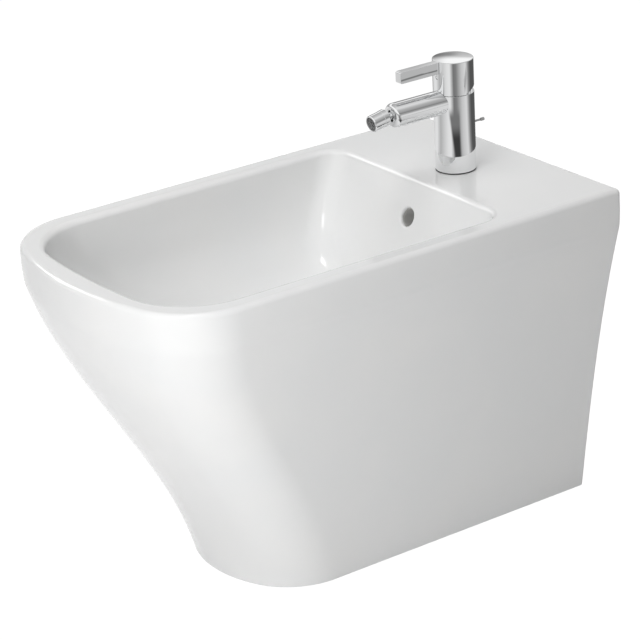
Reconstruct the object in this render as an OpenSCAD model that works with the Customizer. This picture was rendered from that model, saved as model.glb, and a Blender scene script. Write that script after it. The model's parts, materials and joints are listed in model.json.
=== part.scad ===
// Floor standing bidet, back to the wall, with a single lever mixer and a pop-up waste.
// Millimetres. +Z is up, -Y points to the nose, the wall is at +Y.
// The origin is on the floor, in the middle of the outline seen from above.

/* [Ceramic body] */
// Overall width
body_w = 370; // [364:1:376]
// Overall length from the nose to the wall
body_l = 630; // [620:1:640]
// Height of the rim and the deck
rim_h = 400; // [396:1:404]
// Width of the foot on the floor
foot_w = 225; // [218:1:232]
// Length of the foot on the floor
foot_l = 463; // [455:1:471]
// Height of the soft crease below the rim band
crease_h = 355; // [352:1:358]
// Wall thickness of the pedestal
wall = 12; // [10:0.5:14]

/* [Bowl] */
// Width of the bowl's opening
open_w = 315; // [309:1:321]
// Where the back edge of the opening lies, in front of the wall
open_back = 153; // [150:1:156]
// Width of the rim at the nose
nose_rim = 32; // [30:1:36]
// Height of the bowl's floor
floor_h = 255; // [253:1:258]
// Slope of the bowl's back wall, away from upright
back_slope = 23; // [21:0.5:24]
// Distance from the wall to the drain
drain_to_wall = 250; // [247:1:252]

/* [Mixer] */
// Distance from the wall to the mixer's axis
mixer_to_wall = 93.5; // [92:0.5:95]
// Diameter of the mixer's body and handle
mixer_d = 48; // [47.6:0.1:48.4]
// Length of the spout, from the mixer's axis
spout_l = 92.5; // [91:0.5:94]
// Length of the lever, from the mixer's axis
lever_l = 79.5; // [76:0.5:84]
// Angle that the lever lifts through
lever_lift = 18; // [16:1:18]
// Downward tilt of the spray nozzle as shown
nozzle_tilt = 10; // [6:1:12]

/* [Waste] */
// Travel of the lift rod
rod_travel = 30; // [26:1:30]
// Height of the waste outlet pipe's axis
outlet_h = 105; // [104:1:107]
// Outside diameter of the waste outlet pipe
outlet_d = 32; // [31.6:0.1:32.2]

/* [Hidden] */
$fn = 64;
clear = 0.1;

wall_y = body_l / 2;
nose_y = -body_l / 2;
mixer_y = wall_y - mixer_to_wall;
drain_y = wall_y - drain_to_wall;

// Outline of the body at the floor and at the rim
corner_floor = 84;
corner_rim = 90;
front_floor = 150;
front_rim = 400;
rear_corner = 5;
edge_r = 6;

// Opening of the bowl
open_edge_r = 7;
open_half = open_w / 2;
open_y_back = wall_y - open_back;
open_y_front = nose_y + nose_rim;
bowl_top = rim_h - open_edge_r;
bowl_depth = bowl_top - floor_h;
bowl_power = 2.4;
bowl_wall = 14;
drain_flat = 34;

// Deck, its cavity and the opening in the back of the pedestal
deck_t = 14;
cavity_half = 150;
fold_q = 0.5;
access_half = 88;
access_h = 300;
access_r = 30;

// Drain boss under the bowl
boss_r = 36;
boss_z = floor_h - 37;
outlet_hole_r = 23;

// Overflow
overflow_z = 358;
overflow_r = 11;
channel_r = 8;

// Mixer, measured up from the deck
mixer_r = mixer_d / 2;
tap_hole_r = 18;
base_t = 1.5;
mixer_top = 95;
pivot_z = 97;
cap_z = 95.4;
cap_top = 136;
cap_in_r = 21.8;
cap_gap = 0.35;
spout_r = 14.5;
spout_z = 85.2;
spout_edge = 5.5;
way_r = 6;
way_z = 82;
chamber_r = 12.6;
chamber_z = 63;
nut_z = 89;
nut_r = 16;
under_r = 19.5;
ball_y = -spout_l - 9.5;
rod_y = 15.6;
pin_z = 51;
rod_r = 1.8;
pin_r = 1.25;
tail_x = 7.5;
tail_r = 5;
stud_y = -11;
stud_r = 4;

// Lever
lever_w = 10;
lever_z = 121.3;
lever_h = 13.9;
lever_end_r = 2.2;
lever_screw_z = 125.5;
grub_z = 116;
screw_r = 2;

// Spray nozzle, measured from the middle of its ball
ball_r = 7.2;
neck_r = 4.5;
stem_r = 6.5;
collar_r = 10.3;
barrel_r = 9.9;
barrel_end = 17.5;
insert_start = 10.1;
insert_r = 8;
insert_h = 5.6;

// Pop-up linkage
lever_ball_y = drain_y + 28;
lever_ball_z = floor_h - 80;
outer_arm = mixer_y + rod_y - lever_ball_y;
inner_arm = lever_ball_y - drain_y;
arm_rest = atan(rod_travel / 2 / outer_arm);
arm_r = 2.5;
clevis_hole_r = 3.8;
branch_r = 11;
clevis_z = lever_ball_z - rod_travel / 2;
plug_eye_z = lever_ball_z + inner_arm * tan(arm_rest) - floor_h;
plug_drop = 2 * inner_arm * tan(arm_rest);
plug_gap = 0.37;

// Waste, measured from the bowl's floor
tail_out_r = 20.5;
tail_in_r = 18;
tube_out_r = 17;
tube_in_r = 14;
flange_r = 32;

// Trap, heights above the floor
tube_end_h = 140;
neck_top_h = 138;
trap_top_h = 126;
trap_joint_h = 78;
trap_cup_h = 34;
trap_r = 31;
outlet_r = outlet_d / 2;
outlet_held_r = outlet_r - 0.6;

// Floor brackets
bracket_y = 180;
bracket_x = 75;
upright_x = 95;
lug_x = 96.5;
lug_z = 45;
lug_r = 12;
bolt_r = 4;
plate_t = 4;

// Points along each stretch of half an outline: front arc, corner, side, rear corner, back
n_front = 5;
n_corner = 7;
n_side = 4;
n_rear = 3;
n_back = 2;
n_ring = 2 * (n_front + n_corner + n_side + n_rear + n_back);

// Right half of an outline, from the middle of the nose to the middle of the back
function half_outline(w, yb, yf, rb, rc, rf) =
    let (
        yc = yf + rf - sqrt(pow(rf - rc, 2) - pow(w - rc, 2)),
        turn = asin((w - rc) / (rf - rc)),
        y_side = yb - rb
    )
    concat(
        [for (i = [0:n_front - 1]) let (a = turn * i / n_front) [rf * sin(a), yf + rf - rf * cos(a)]],
        [for (i = [0:n_corner]) let (a = turn + (90 - turn) * i / n_corner)
            [w - rc + rc * sin(a), yc - rc * cos(a)]],
        [for (i = [1:n_side - 1]) [w, yc + (y_side - yc) * i / n_side]],
        [for (i = [0:n_rear]) let (a = 90 * i / n_rear) [w - rb + rb * cos(a), y_side + rb * sin(a)]],
        [for (i = [1:n_back]) [(w - rb) * (1 - i / n_back), yb]]
    );

// Whole closed outline, anticlockwise seen from above, at height z
function ring(z, w, yb, yf, rb, rc, rf) =
    let (h = half_outline(w, yb, yf, rb, rc, rf), last = len(h) - 1)
    concat(
        [for (p = h) [p[0], p[1], z]],
        [for (i = [last - 1:-1:1]) [-h[i][0], h[i][1], z]]
    );

// Half width and length of the outer skin at height z
function skin_half(z) =
    let (t = min(z / crease_h, 1), band = max((z - crease_h) / (rim_h - crease_h), 0))
    foot_w / 2 + (body_w / 2 - 0.8 - foot_w / 2) * (0.74 * t + 0.26 * pow(t, 2.7)) + 0.8 * sin(180 * band);
function skin_length(z) =
    let (
        u = pow(min(z / crease_h, 1), 1.05),
        band = max((z - crease_h) / (rim_h - crease_h), 0)
    )
    foot_l + (body_l - 1 - foot_l) * 0.5 * (u + u * u * (3 - 2 * u)) + sin(180 * band);

// Outer skin at height z, drawn in by the inset
function skin_ring(z, inset) =
    ring(z, skin_half(z) - inset, wall_y - inset, wall_y - skin_length(z) + inset,
        max(rear_corner - inset, 1),
        corner_floor + (corner_rim - corner_floor) * z / rim_h - inset,
        front_floor + (front_rim - front_floor) * z / rim_h - inset);

// Inside of the pedestal at height z; the nose leans, so its wall is thicker along Y
function inner_ring(z) =
    ring(z, skin_half(z) - wall, wall_y - wall, wall_y - skin_length(z) + wall + 4, 3,
        corner_floor + (corner_rim - corner_floor) * z / rim_h - wall,
        front_floor + (front_rim - front_floor) * z / rim_h - wall);

// Bowl: q runs from 0 at the rim to 1 at the floor, rho from 1 to 0
function rho(q) = pow(max(1 - pow(q, bowl_power), 0), 1 / bowl_power);
function back_wall_y(z) = open_y_back - (bowl_top - z) * tan(back_slope);
function bowl_ring(q, side_out, back_out, down) =
    let (r = rho(q), z = bowl_top - q * bowl_depth, front = drain_y - drain_flat)
    ring(z - down,
        drain_flat + (open_half - drain_flat) * r + side_out,
        back_wall_y(z) - 5 * pow(q, 14) + back_out,
        front + (open_y_front - front) * r - side_out,
        28 + 5.5 * pow(q, 3) + min(side_out, 6),
        drain_flat - 1 + 50 * r + side_out,
        60 + 840 * r * r + side_out);
function under_ring(q) =
    bowl_ring(q, bowl_wall * (1 - pow(q, 3)), bowl_wall * (1 - pow(q, 8)), bowl_wall * pow(q, 1.5));

// Edge of the opening, rounded from the flat rim down into the bowl
function opening_ring(a) =
    let (out = open_edge_r * (1 - cos(a)), z = bowl_top + open_edge_r * sin(a))
    ring(z, open_half + out, open_y_back + out, open_y_front - out, 28 + out, 83 + out, 900 + out);

// Round ring about the drain
function drain_ring(z, r) = ring(z, r, drain_y + r, drain_y - r, r - 0.5, r - 0.5, r * 1.4);

skin_z = [1.5, 30, 60, 90, 120, 150, 180, 210, 240, 270, 300, 330, crease_h, 362, 376, rim_h - edge_r];
fold_z = bowl_top - fold_q * bowl_depth - bowl_wall * pow(fold_q, 1.5);
inner_z = [fold_z, 280, 240, 200, 160, 120, 80, 40, 0];

body_rings = concat(
    [skin_ring(0, 1.2)],
    [for (z = skin_z) skin_ring(z, 0)],
    [for (a = [30:30:90]) skin_ring(rim_h - edge_r * (1 - sin(a)), edge_r * (1 - cos(a)))],
    [for (a = [90:-30:30]) opening_ring(a)],
    [for (i = [0:10]) bowl_ring(pow(sin(9 * i), 2 / bowl_power), 0, 0, 0)],
    [drain_ring(floor_h, 20), drain_ring(boss_z, 20), drain_ring(boss_z, boss_r),
        drain_ring(floor_h - 15, boss_r + 1)],
    [for (q = [0.985, 0.95, 0.88, 0.78, 0.65, fold_q]) under_ring(q)],
    [for (z = inner_z) inner_ring(z)]
);

// Closed skin through rings that start and end at the foot: outside, bowl, underside, inside
module ring_body(rings) {
    n = len(rings);
    polyhedron(
        points = [for (r = rings) for (p = r) p],
        faces = [
            for (i = [0:n - 1]) for (j = [0:n_ring - 1]) for (half = [0, 1])
            let (a = i * n_ring, b = (i + 1) % n * n_ring, k = (j + 1) % n_ring)
            half == 0 ? [a + j, b + j, b + k] : [a + j, b + k, a + k]
        ]
    );
}

// Turns an upright shape to point forwards, to the nose
module forwards() {
    rotate([90, 0, 0]) children();
}

module backwards() {
    rotate([-90, 0, 0]) children();
}

module sideways() {
    rotate([0, 90, 0]) children();
}

module at_mixer() {
    translate([0, mixer_y, rim_h]) children();
}

module at_drain() {
    translate([0, drain_y, floor_h]) children();
}

module tube(r_out, r_in, h) {
    difference() {
        cylinder(r = r_out, h = h);
        translate([0, 0, -1]) cylinder(r = r_in, h = h + 2);
    }
}

// Solid of revolution with a rounded far edge
module round_end(r, h, edge) {
    rotate_extrude() {
        square([r, h - edge]);
        square([r - edge, h]);
        translate([r - edge, h - edge]) intersection() {
            circle(r = edge);
            square(edge);
        }
    }
}

// ---- ceramic ----

module deck_cavity() {
    top = rim_h - deck_t;
    low = fold_z - 9;
    behind = 14.5;
    translate([-cavity_half, 0, 0]) rotate([90, 0, 90]) linear_extrude(2 * cavity_half) polygon([
        [back_wall_y(top) + behind, top],
        [wall_y - wall, top],
        [wall_y - wall, low],
        [back_wall_y(low) + behind, low]
    ]);
}

module rear_access() {
    translate([0, wall_y + 10, 0]) forwards() linear_extrude(wall + 20) {
        translate([-access_half, -1]) square([2 * access_half, access_h - access_r + 1]);
        translate([-access_half + access_r, 0]) square([2 * (access_half - access_r), access_h]);
        for (s = [-1, 1]) translate([s * (access_half - access_r), access_h - access_r]) circle(r = access_r);
    }
}

// Thick rib behind the bowl's back wall that holds the overflow channel
module overflow_rib() {
    near = 6;
    far = 34;
    translate([-14, 0, 0]) rotate([90, 0, 90]) linear_extrude(28) polygon([
        [back_wall_y(rim_h - 10) + near, rim_h - 10],
        [back_wall_y(rim_h - 10) + far, rim_h - 10],
        [back_wall_y(floor_h - 29) + far, floor_h - 29],
        [drain_y + 19, floor_h - 33],
        [drain_y + 19, floor_h - 9],
        [back_wall_y(floor_h - 3) + near, floor_h - 3]
    ]);
}

module overflow_channel() {
    behind = 17;
    start = back_wall_y(overflow_z) + behind * cos(back_slope);
    low_z = floor_h - 15;
    low_y = start - (overflow_z - behind * sin(back_slope) - low_z) * tan(back_slope);
    translate([0, back_wall_y(overflow_z), overflow_z]) rotate([90 - back_slope, 0, 0])
        translate([0, 0, -behind]) cylinder(r = overflow_r, h = behind + 8);
    translate([0, low_y, low_z]) rotate([-back_slope, 0, 0]) cylinder(r = channel_r, h = 124);
    translate([0, low_y + 6, floor_h - 19]) forwards() cylinder(r = channel_r, h = 36);
}

module ceramic_body() {
    color("whitesmoke") difference() {
        union() {
            difference() {
                ring_body(body_rings);
                deck_cavity();
                rear_access();
            }
            overflow_rib();
            for (s = [-1, 1]) translate([s * (lug_x + 8), bracket_y, lug_z])
                sideways() cylinder(r = lug_r, h = 16, center = true);
        }
        at_mixer() translate([0, 0, -deck_t - 1]) cylinder(r = tap_hole_r, h = deck_t + 2);
        translate([0, drain_y, boss_z - 1]) cylinder(r = outlet_hole_r, h = 40);
        at_drain() translate([0, 0, -3.5]) cylinder(r = flange_r + 1, h = 12);
        overflow_channel();
        for (s = [-1, 1]) translate([s * (lug_x + 6), bracket_y, lug_z])
            sideways() cylinder(r = bolt_r + clear, h = 14, center = true);
    }
}

// ---- mixer ----

module rod_slot() {
    half = pin_r + 0.35;
    translate([0, rod_y, 0]) cylinder(r = rod_r + 0.3, h = 86);
    for (z = [pin_z, pin_z + rod_travel]) translate([0, rod_y, z]) backwards() cylinder(r = half, h = 12);
    translate([-half, rod_y, pin_z]) cube([2 * half, 12, rod_travel]);
}

module mixer_body() {
    color("silver") at_mixer() difference() {
        union() {
            translate([0, 0, base_t]) cylinder(r = mixer_r, h = mixer_top - base_t);
            translate([0, 0, spout_z]) forwards() round_end(spout_r, spout_l, spout_edge);
        }
        translate([0, 0, mixer_top]) cylinder(r = mixer_r + cap_gap, h = 10);
        cylinder(r = under_r, h = 20);
        for (s = [-1, 1]) translate([s * tail_x, 1, 19]) {
            cylinder(r = tail_r + clear, h = 21);
            cylinder(r = 3.5, h = chamber_z - 18);
        }
        translate([0, stud_y, 19]) cylinder(r = stud_r + 0.05, h = 9);
        translate([0, 0, chamber_z]) cylinder(r = chamber_r, h = 40);
        translate([0, 0, nut_z]) cylinder(r = nut_r, h = 10);
        translate([0, -11, way_z]) forwards() cylinder(r = way_r, h = spout_l - 23);
        translate([0, -spout_l + 13, spout_z]) forwards() cylinder(r = stem_r + clear, h = 14);
        rod_slot();
    }
}

module mixer_base_gasket() {
    color("dimgray") at_mixer() tube(mixer_r, under_r + clear, base_t);
}

module mixer_stud() {
    color("goldenrod") at_mixer() translate([0, stud_y, -60]) cylinder(r = stud_r, h = 87);
}

// Horseshoe that reaches round the tap hole and leaves the tails and the rod free
module horseshoe(t) {
    linear_extrude(t) difference() {
        circle(r = 25);
        translate([-14, -5]) square([28, 40]);
        translate([0, stud_y]) circle(r = stud_r + 0.3);
    }
}

module clamp_rubber() {
    color("dimgray") at_mixer() translate([0, 0, -deck_t - 3]) horseshoe(3);
}

module clamp_plate() {
    color("gainsboro") at_mixer() translate([0, 0, -deck_t - 6]) horseshoe(3);
}

module stud_nut() {
    color("goldenrod") at_mixer() translate([0, stud_y, -deck_t - 12.5]) difference() {
        cylinder(r = 7.5, h = 6.5, $fn = 6);
        translate([0, 0, -1]) cylinder(r = stud_r + 0.05, h = 9);
    }
}

// Centre line of a tail's bend in its own plane: [outwards, up, lean from upright]
function tail_bend(bend, bend_r, slant, lead) =
    let (
        x1 = bend_r * (1 - cos(bend)),
        z1 = bend_r * sin(bend),
        x2 = x1 + slant * sin(bend),
        z2 = z1 + slant * cos(bend)
    )
    concat(
        [[0, lead, 0]],
        [for (a = [0:bend / 5:bend]) [bend_r * (1 - cos(a)), -bend_r * sin(a), a]],
        [for (a = [bend:-bend / 5:-0.1])
            [x2 + x1 - bend_r * (1 - cos(a)), -z2 - z1 + bend_r * sin(a), a]],
        [[x2 + x1, -z2 - z1 - lead, 0]]
    );

// Round tube swept along such a line, its ends closed
module swept_bend(path, r, sides) {
    n = len(path);
    polyhedron(
        points = [for (p = path) for (k = [0:sides - 1]) let (f = 360 * k / sides)
            [p[0] + r * cos(f) * cos(p[2]), r * sin(f), p[1] + r * cos(f) * sin(p[2])]],
        faces = concat(
            [[for (k = [sides - 1:-1:0]) k]],
            [for (i = [0:n - 2]) for (k = [0:sides - 1]) let (a = i * sides, m = (k + 1) % sides)
                [a + k, a + m, a + sides + m, a + sides + k]],
            [[for (k = [0:sides - 1]) (n - 1) * sides + k]]
        )
    );
}

// Rigid copper tail: straight down, two gentle bends outwards, and straight down to a free end
module supply_tail(side) {
    bend_start = -55;
    end = -230;
    path = tail_bend(35, 30, 60, 4);
    low = path[len(path) - 1];
    mirror([side < 0 ? 1 : 0, 0, 0]) at_mixer() translate([tail_x, 1, bend_start]) {
        cylinder(r = tail_r, h = 39.9 - bend_start);
        swept_bend(path, tail_r - 0.1, 16);
        translate([low[0], 0, end - bend_start]) cylinder(r = tail_r, h = low[1] + 4 - end + bend_start);
    }
}

module supply_tail_hot() {
    color("peru") supply_tail(-1);
}

module supply_tail_cold() {
    color("peru") supply_tail(1);
}

// Part of a ball under the handle, so that no gap opens as the handle tilts
module dome_ring() {
    color("silver") at_mixer() difference() {
        intersection() {
            translate([0, 0, pivot_z]) sphere(r = 21);
            translate([-25, -25, mixer_top]) cube([50, 50, 14]);
        }
        translate([0, 0, mixer_top - 1]) cylinder(r = nut_r + clear, h = 20);
    }
}

module cartridge_body() {
    color("white") at_mixer() difference() {
        translate([0, 0, chamber_z + 0.2]) cylinder(r = chamber_r - clear, h = 30.8);
        translate([0, 0, 84]) cylinder(r = 9.3, h = 20);
        translate([0, 0, 72]) cylinder(r = 7, h = 20);
        for (s = [-1, 1]) translate([s * tail_x, 1, chamber_z]) cylinder(r = 3, h = 12);
        translate([0, 0, way_z - 4]) forwards() cylinder(r = 4, h = 20);
    }
}

module cartridge_nut() {
    color("goldenrod") at_mixer() translate([0, 0, nut_z + 0.2]) difference() {
        cylinder(r = nut_r - clear, h = 9.8);
        translate([0, 0, -1]) cylinder(r = chamber_r, h = 5.8);
        cylinder(r = 9.6, h = 12);
    }
}

module cartridge_rotor() {
    color("gainsboro") at_mixer() difference() {
        translate([0, 0, 84.3]) cylinder(r = 9, h = 18.2);
        translate([-3.4, -7, 86]) cube([6.8, 14, 20]);
        translate([0, 0, pivot_z]) sideways() cylinder(r = 1.52, h = 30, center = true);
    }
}

module spindle() {
    color("lightgray") at_mixer() difference() {
        translate([0, 0, pivot_z - 9]) cylinder(r = 3, h = 37);
        translate([0, 0, pivot_z]) sideways() cylinder(r = 1.58, h = 10, center = true);
    }
}

module spindle_pin() {
    color("lightgray") at_mixer() translate([0, 0, pivot_z])
        sideways() cylinder(r = 1.5, h = 17, center = true);
}

// Round cap, its skirt cut upwards behind the pivot so that it can lean back
module handle_cap() {
    skirt_in = cap_top - 6;
    color("silver") at_mixer() difference() {
        union() {
            difference() {
                translate([0, 0, cap_z]) round_end(mixer_r, cap_top - cap_z, 1);
                translate([0, 0, cap_z - 1]) cylinder(r = cap_in_r, h = skirt_in - cap_z + 1);
            }
            translate([0, 0, 112]) cylinder(r = 6, h = skirt_in - 112 + 1);
        }
        translate([0, 0, 111]) cylinder(r = 3.1, h = 14.5);
        translate([0, 0, grub_z]) forwards() cylinder(r = screw_r + 0.05, h = 9);
        translate([0, -18, grub_z]) forwards() cylinder(r = 2.3, h = 10);
        translate([0, -18, lever_screw_z]) forwards() cylinder(r = screw_r + clear, h = 10);
        translate([0, 0, pivot_z]) rotate([lever_lift, 0, 0]) translate([-30, 0, -20]) cube([60, 40, 20]);
    }
}

module lever_bar() {
    y0 = mixer_r - 4;
    color("silver") at_mixer() difference() {
        translate([-lever_w / 2, 0, lever_z]) rotate([90, 0, 90]) linear_extrude(lever_w) {
            translate([-lever_l, lever_end_r]) square([lever_l - y0, lever_h - 2 * lever_end_r]);
            translate([-lever_l + lever_end_r, 0]) square([lever_l - lever_end_r - y0, lever_h]);
            for (z = [lever_end_r, lever_h - lever_end_r])
                translate([-lever_l + lever_end_r, z]) circle(r = lever_end_r);
        }
        translate([0, 0, lever_z - 5]) cylinder(r = mixer_r + 0.03, h = 30);
        translate([0, -mixer_r + 2, lever_screw_z]) forwards() cylinder(r = screw_r + 0.05, h = 14);
    }
}

module lever_screw() {
    color("gray") at_mixer() translate([0, -18.4, lever_screw_z]) forwards() difference() {
        union() {
            cylinder(r = screw_r, h = 16.5);
            cylinder(r = 3.5, h = 3);
        }
        translate([0, 0, -1]) cylinder(r = 1.5, h = 3, $fn = 6);
    }
}

module handle_grub_screw() {
    color("gray") at_mixer() translate([0, -3.05, grub_z]) forwards() difference() {
        cylinder(r = screw_r, h = 6.5);
        translate([0, 0, 4.5]) cylinder(r = 1.1, h = 3, $fn = 6);
    }
}

module index_plug() {
    color("silver") at_mixer() translate([0, -mixer_r + 1.8, grub_z]) forwards() cylinder(r = 2.25, h = 1.9);
}

// ---- spray nozzle on its ball ----

module at_nozzle_ball() {
    at_mixer() translate([0, ball_y, spout_z]) children();
}

module ball_stud() {
    color("silver") at_nozzle_ball() forwards() rotate_extrude() difference() {
        union() {
            translate([0, -22]) square([stem_r, 13]);
            translate([0, -9.5]) square([8.2, 1.3]);
            translate([0, -9.5]) square([neck_r, 6]);
            intersection() {
                circle(r = ball_r);
                translate([0, -8]) square([8, 16]);
            }
        }
        translate([-1, -23]) square([4, 40]);
    }
}

module ball_seal() {
    color("dimgray") at_nozzle_ball() forwards() rotate_extrude() difference() {
        intersection() {
            circle(r = 8.6);
            translate([0, -3]) square([10, 8]);
        }
        circle(r = ball_r + 0.3);
    }
}

module aerator_barrel() {
    color("silver") at_nozzle_ball() rotate([90 + nozzle_tilt, 0, 0]) difference() {
        union() {
            translate([0, 0, -4.5]) cylinder(r1 = 8.4, r2 = collar_r, h = 2.5);
            translate([0, 0, -2]) cylinder(r = collar_r, h = 6);
            translate([0, 0, 3.5]) cylinder(r = barrel_r, h = barrel_end - 3.5);
            translate([0, 0, barrel_end]) cylinder(r1 = barrel_r, r2 = barrel_r - 0.7, h = 1);
        }
        sphere(r = 8.9);
        cylinder(r = 4, h = insert_start);
        translate([0, 0, insert_start - 0.1]) cylinder(r = insert_r + clear, h = 12);
    }
}

module aerator_insert() {
    color("whitesmoke") at_nozzle_ball() rotate([90 + nozzle_tilt, 0, 0]) translate([0, 0, insert_start]) difference() {
        cylinder(r = insert_r, h = insert_h);
        translate([0, 0, -1]) cylinder(r = 1.4, h = 12);
        for (a = [0:60:300]) rotate([0, 0, a]) translate([4.4, 0, -1]) cylinder(r = 1.4, h = 12);
    }
}

// ---- pop-up linkage ----

module lift_rod() {
    low = clevis_z + 13 - rim_h;
    color("silver") at_mixer() translate([0, rod_y, 0]) {
        translate([0, 0, low]) cylinder(r = rod_r, h = pin_z - low);
        translate([0, 0, pin_z]) sphere(r = rod_r);
        translate([0, 0, pin_z]) backwards() cylinder(r = pin_r, h = 26);
    }
}

module lift_knob() {
    color("silver") at_mixer() translate([0, 38, pin_z]) backwards() difference() {
        round_end(2, 5.5, 0.6);
        translate([0, 0, -1]) cylinder(r = pin_r + 0.02, h = 4.8);
    }
}

module rod_clevis() {
    color("gainsboro") translate([0, mixer_y + rod_y, clevis_z]) difference() {
        translate([-6, -6, -9]) cube([12, 12, 34]);
        translate([0, 0, 12.8]) cylinder(r = rod_r + 0.05, h = 20);
        translate([0, 10, 0]) forwards() cylinder(r = clevis_hole_r, h = 20);
        translate([0, 0, 19]) sideways() cylinder(r = screw_r + 0.05, h = 10);
    }
}

module clevis_screw() {
    color("gray") translate([rod_r + 0.05, mixer_y + rod_y, clevis_z + 19]) sideways() {
        cylinder(r = screw_r, h = 6);
        translate([0, 0, 6 - rod_r - 0.05]) cylinder(r = 3.5, h = 2.5);
    }
}

module ball_lever() {
    color("silver") translate([0, lever_ball_y, lever_ball_z]) rotate([-arm_rest, 0, 0]) {
        sphere(r = 7);
        backwards() cylinder(r = arm_r, h = outer_arm + 10);
        forwards() cylinder(r = arm_r, h = inner_arm + 6);
    }
}

module ball_seats() {
    color("white") translate([0, drain_y, lever_ball_z]) {
        translate([0, 19.5, 0]) backwards() tube(7.5, 5, 3);
        translate([0, 33, 0]) backwards() tube(10.8, 5.3, 1);
    }
}

module ball_nut() {
    color("silver") translate([0, drain_y + 24, lever_ball_z]) backwards() difference() {
        cylinder(r = 14, h = 14);
        translate([0, 0, -1]) cylinder(r = branch_r + clear, h = 11);
        cylinder(r = 5.2, h = 20);
    }
}

// ---- waste ----

module waste_flange() {
    color("silver") at_drain() difference() {
        union() {
            translate([0, 0, -2.5]) cylinder(r = flange_r, h = 1.5);
            translate([0, 0, -1]) cylinder(r1 = flange_r, r2 = flange_r - 2, h = 1);
            translate([0, 0, -60]) cylinder(r = tail_out_r, h = 59);
        }
        translate([0, 0, -61]) cylinder(r = tail_in_r, h = 62);
        translate([-7, -30, -26]) cube([14, 60, 14]);
    }
}

module flange_gasket() {
    color("dimgray") at_drain() translate([0, 0, -3.5]) tube(flange_r - 1, 23.5, 1);
}

module under_gasket() {
    color("dimgray") at_drain() translate([0, 0, -40]) tube(33, 20.8, 3);
}

module waste_backnut() {
    color("gainsboro") at_drain() translate([0, 0, -50]) difference() {
        union() {
            cylinder(r = 29, h = 10);
            for (a = [0:45:315]) rotate([0, 0, a]) translate([24, -4, 0]) cube([8, 8, 10]);
        }
        translate([0, 0, -1]) cylinder(r = tail_out_r + clear, h = 12);
    }
}

module waste_body() {
    branch = lever_ball_z - floor_h;
    color("silver") at_drain() difference() {
        union() {
            translate([0, 0, -70]) cylinder(r = 23, h = 18);
            translate([0, 0, tube_end_h - floor_h]) cylinder(r = tube_out_r, h = 50);
            translate([0, 0, branch]) backwards() cylinder(r = branch_r, h = 30);
        }
        translate([0, 0, -66]) cylinder(r = tail_out_r + clear, h = 20);
        translate([0, 0, tube_end_h - floor_h - 1]) cylinder(r = tube_in_r, h = 60);
        translate([0, 0, branch]) backwards() cylinder(r = 7.6, h = 31);
    }
}

module plug() {
    under = plug_drop + plug_gap + 1.5;
    color("silver") at_drain() difference() {
        union() {
            translate([0, 0, under]) cylinder(r = 21, h = 2);
            translate([0, 0, under + 2]) cylinder(r1 = 21, r2 = 18, h = 1.3);
            translate([0, 0, plug_eye_z]) cylinder(r = 4, h = under - plug_eye_z + 1);
            translate([0, 0, plug_eye_z - 8]) cylinder(r = 7, h = 16);
            translate([-16, -1, -8]) cube([32, 2, under + 8]);
            translate([-1, -16, -8]) cube([2, 32, under + 8]);
        }
        translate([0, 10, plug_eye_z]) forwards() cylinder(r = 3.6, h = 20);
    }
}

module plug_seal() {
    color("dimgray") at_drain() translate([0, 0, plug_drop + plug_gap]) tube(20.6, 16.8, 1.5);
}

// ---- trap ----

module trap_inlet_nut() {
    color("silver") translate([0, drain_y, neck_top_h - 10]) difference() {
        cylinder(r = 22, h = 22);
        translate([0, 0, -1]) cylinder(r = 19.6, h = 13.2);
        cylinder(r = tube_out_r + 0.2, h = 30);
    }
}

module trap_dip_tube() {
    color("whitesmoke") translate([0, drain_y, 0]) difference() {
        union() {
            translate([0, 0, 58]) cylinder(r = 13.6, h = neck_top_h - 58);
            translate([0, 0, neck_top_h]) cylinder(r = tube_out_r, h = 1.8);
        }
        translate([0, 0, 57]) cylinder(r = 12, h = 90);
    }
}

module trap_body() {
    color("silver") translate([0, drain_y, 0]) difference() {
        union() {
            translate([0, 0, trap_joint_h - 12]) cylinder(r = 29, h = 20);
            translate([0, 0, trap_joint_h]) cylinder(r = trap_r, h = trap_top_h - trap_joint_h);
            translate([0, 0, trap_top_h - 2]) cylinder(r = 19.5, h = neck_top_h - trap_top_h + 2);
            translate([0, 0, outlet_h]) backwards() cylinder(r = outlet_r + 4, h = 44);
        }
        translate([0, 0, trap_joint_h - 13]) cylinder(r = 26, h = 20);
        translate([0, 0, trap_joint_h]) cylinder(r = trap_r - 3, h = trap_top_h - trap_joint_h - 4);
        translate([0, 0, trap_top_h - 8]) cylinder(r = 14, h = 30);
        translate([0, 10, outlet_h]) backwards() cylinder(r = outlet_r - 2, h = 40);
        translate([0, 33, outlet_h]) backwards() cylinder(r = outlet_held_r + clear, h = 20);
    }
}

module trap_cup() {
    joint = trap_joint_h - 14;
    color("silver") translate([0, drain_y, 0]) difference() {
        translate([0, 0, trap_cup_h]) cylinder(r = 33, h = trap_joint_h - trap_cup_h - 0.2);
        translate([0, 0, trap_cup_h + 4]) cylinder(r = 27, h = 60);
        translate([0, 0, joint]) cylinder(r = 29.2, h = 30);
    }
}

module trap_cup_seal() {
    color("dimgray") translate([0, drain_y, trap_joint_h - 14]) tube(29, 27.2, 2);
}

module trap_outlet_nut() {
    color("silver") translate([0, drain_y + 35, outlet_h]) backwards() difference() {
        cylinder(r = outlet_r + 8, h = 16);
        translate([0, 0, -1]) cylinder(r = outlet_r + 4.1, h = 10.2);
        cylinder(r = outlet_r + 0.2, h = 20);
    }
}

// Its end is turned down where the trap holds it
module outlet_pipe() {
    start = drain_y + 33.2;
    held = 20.8;
    end = wall_y - 2 - start;
    color("silver") translate([0, start, outlet_h]) backwards() difference() {
        union() {
            cylinder(r = outlet_held_r, h = end);
            translate([0, 0, held]) cylinder(r = outlet_r, h = end - held);
        }
        translate([0, 0, -1]) cylinder(r = outlet_held_r - 1.2, h = end + 2);
    }
}

// ---- fixing to the floor, hidden in the pedestal ----

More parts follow.
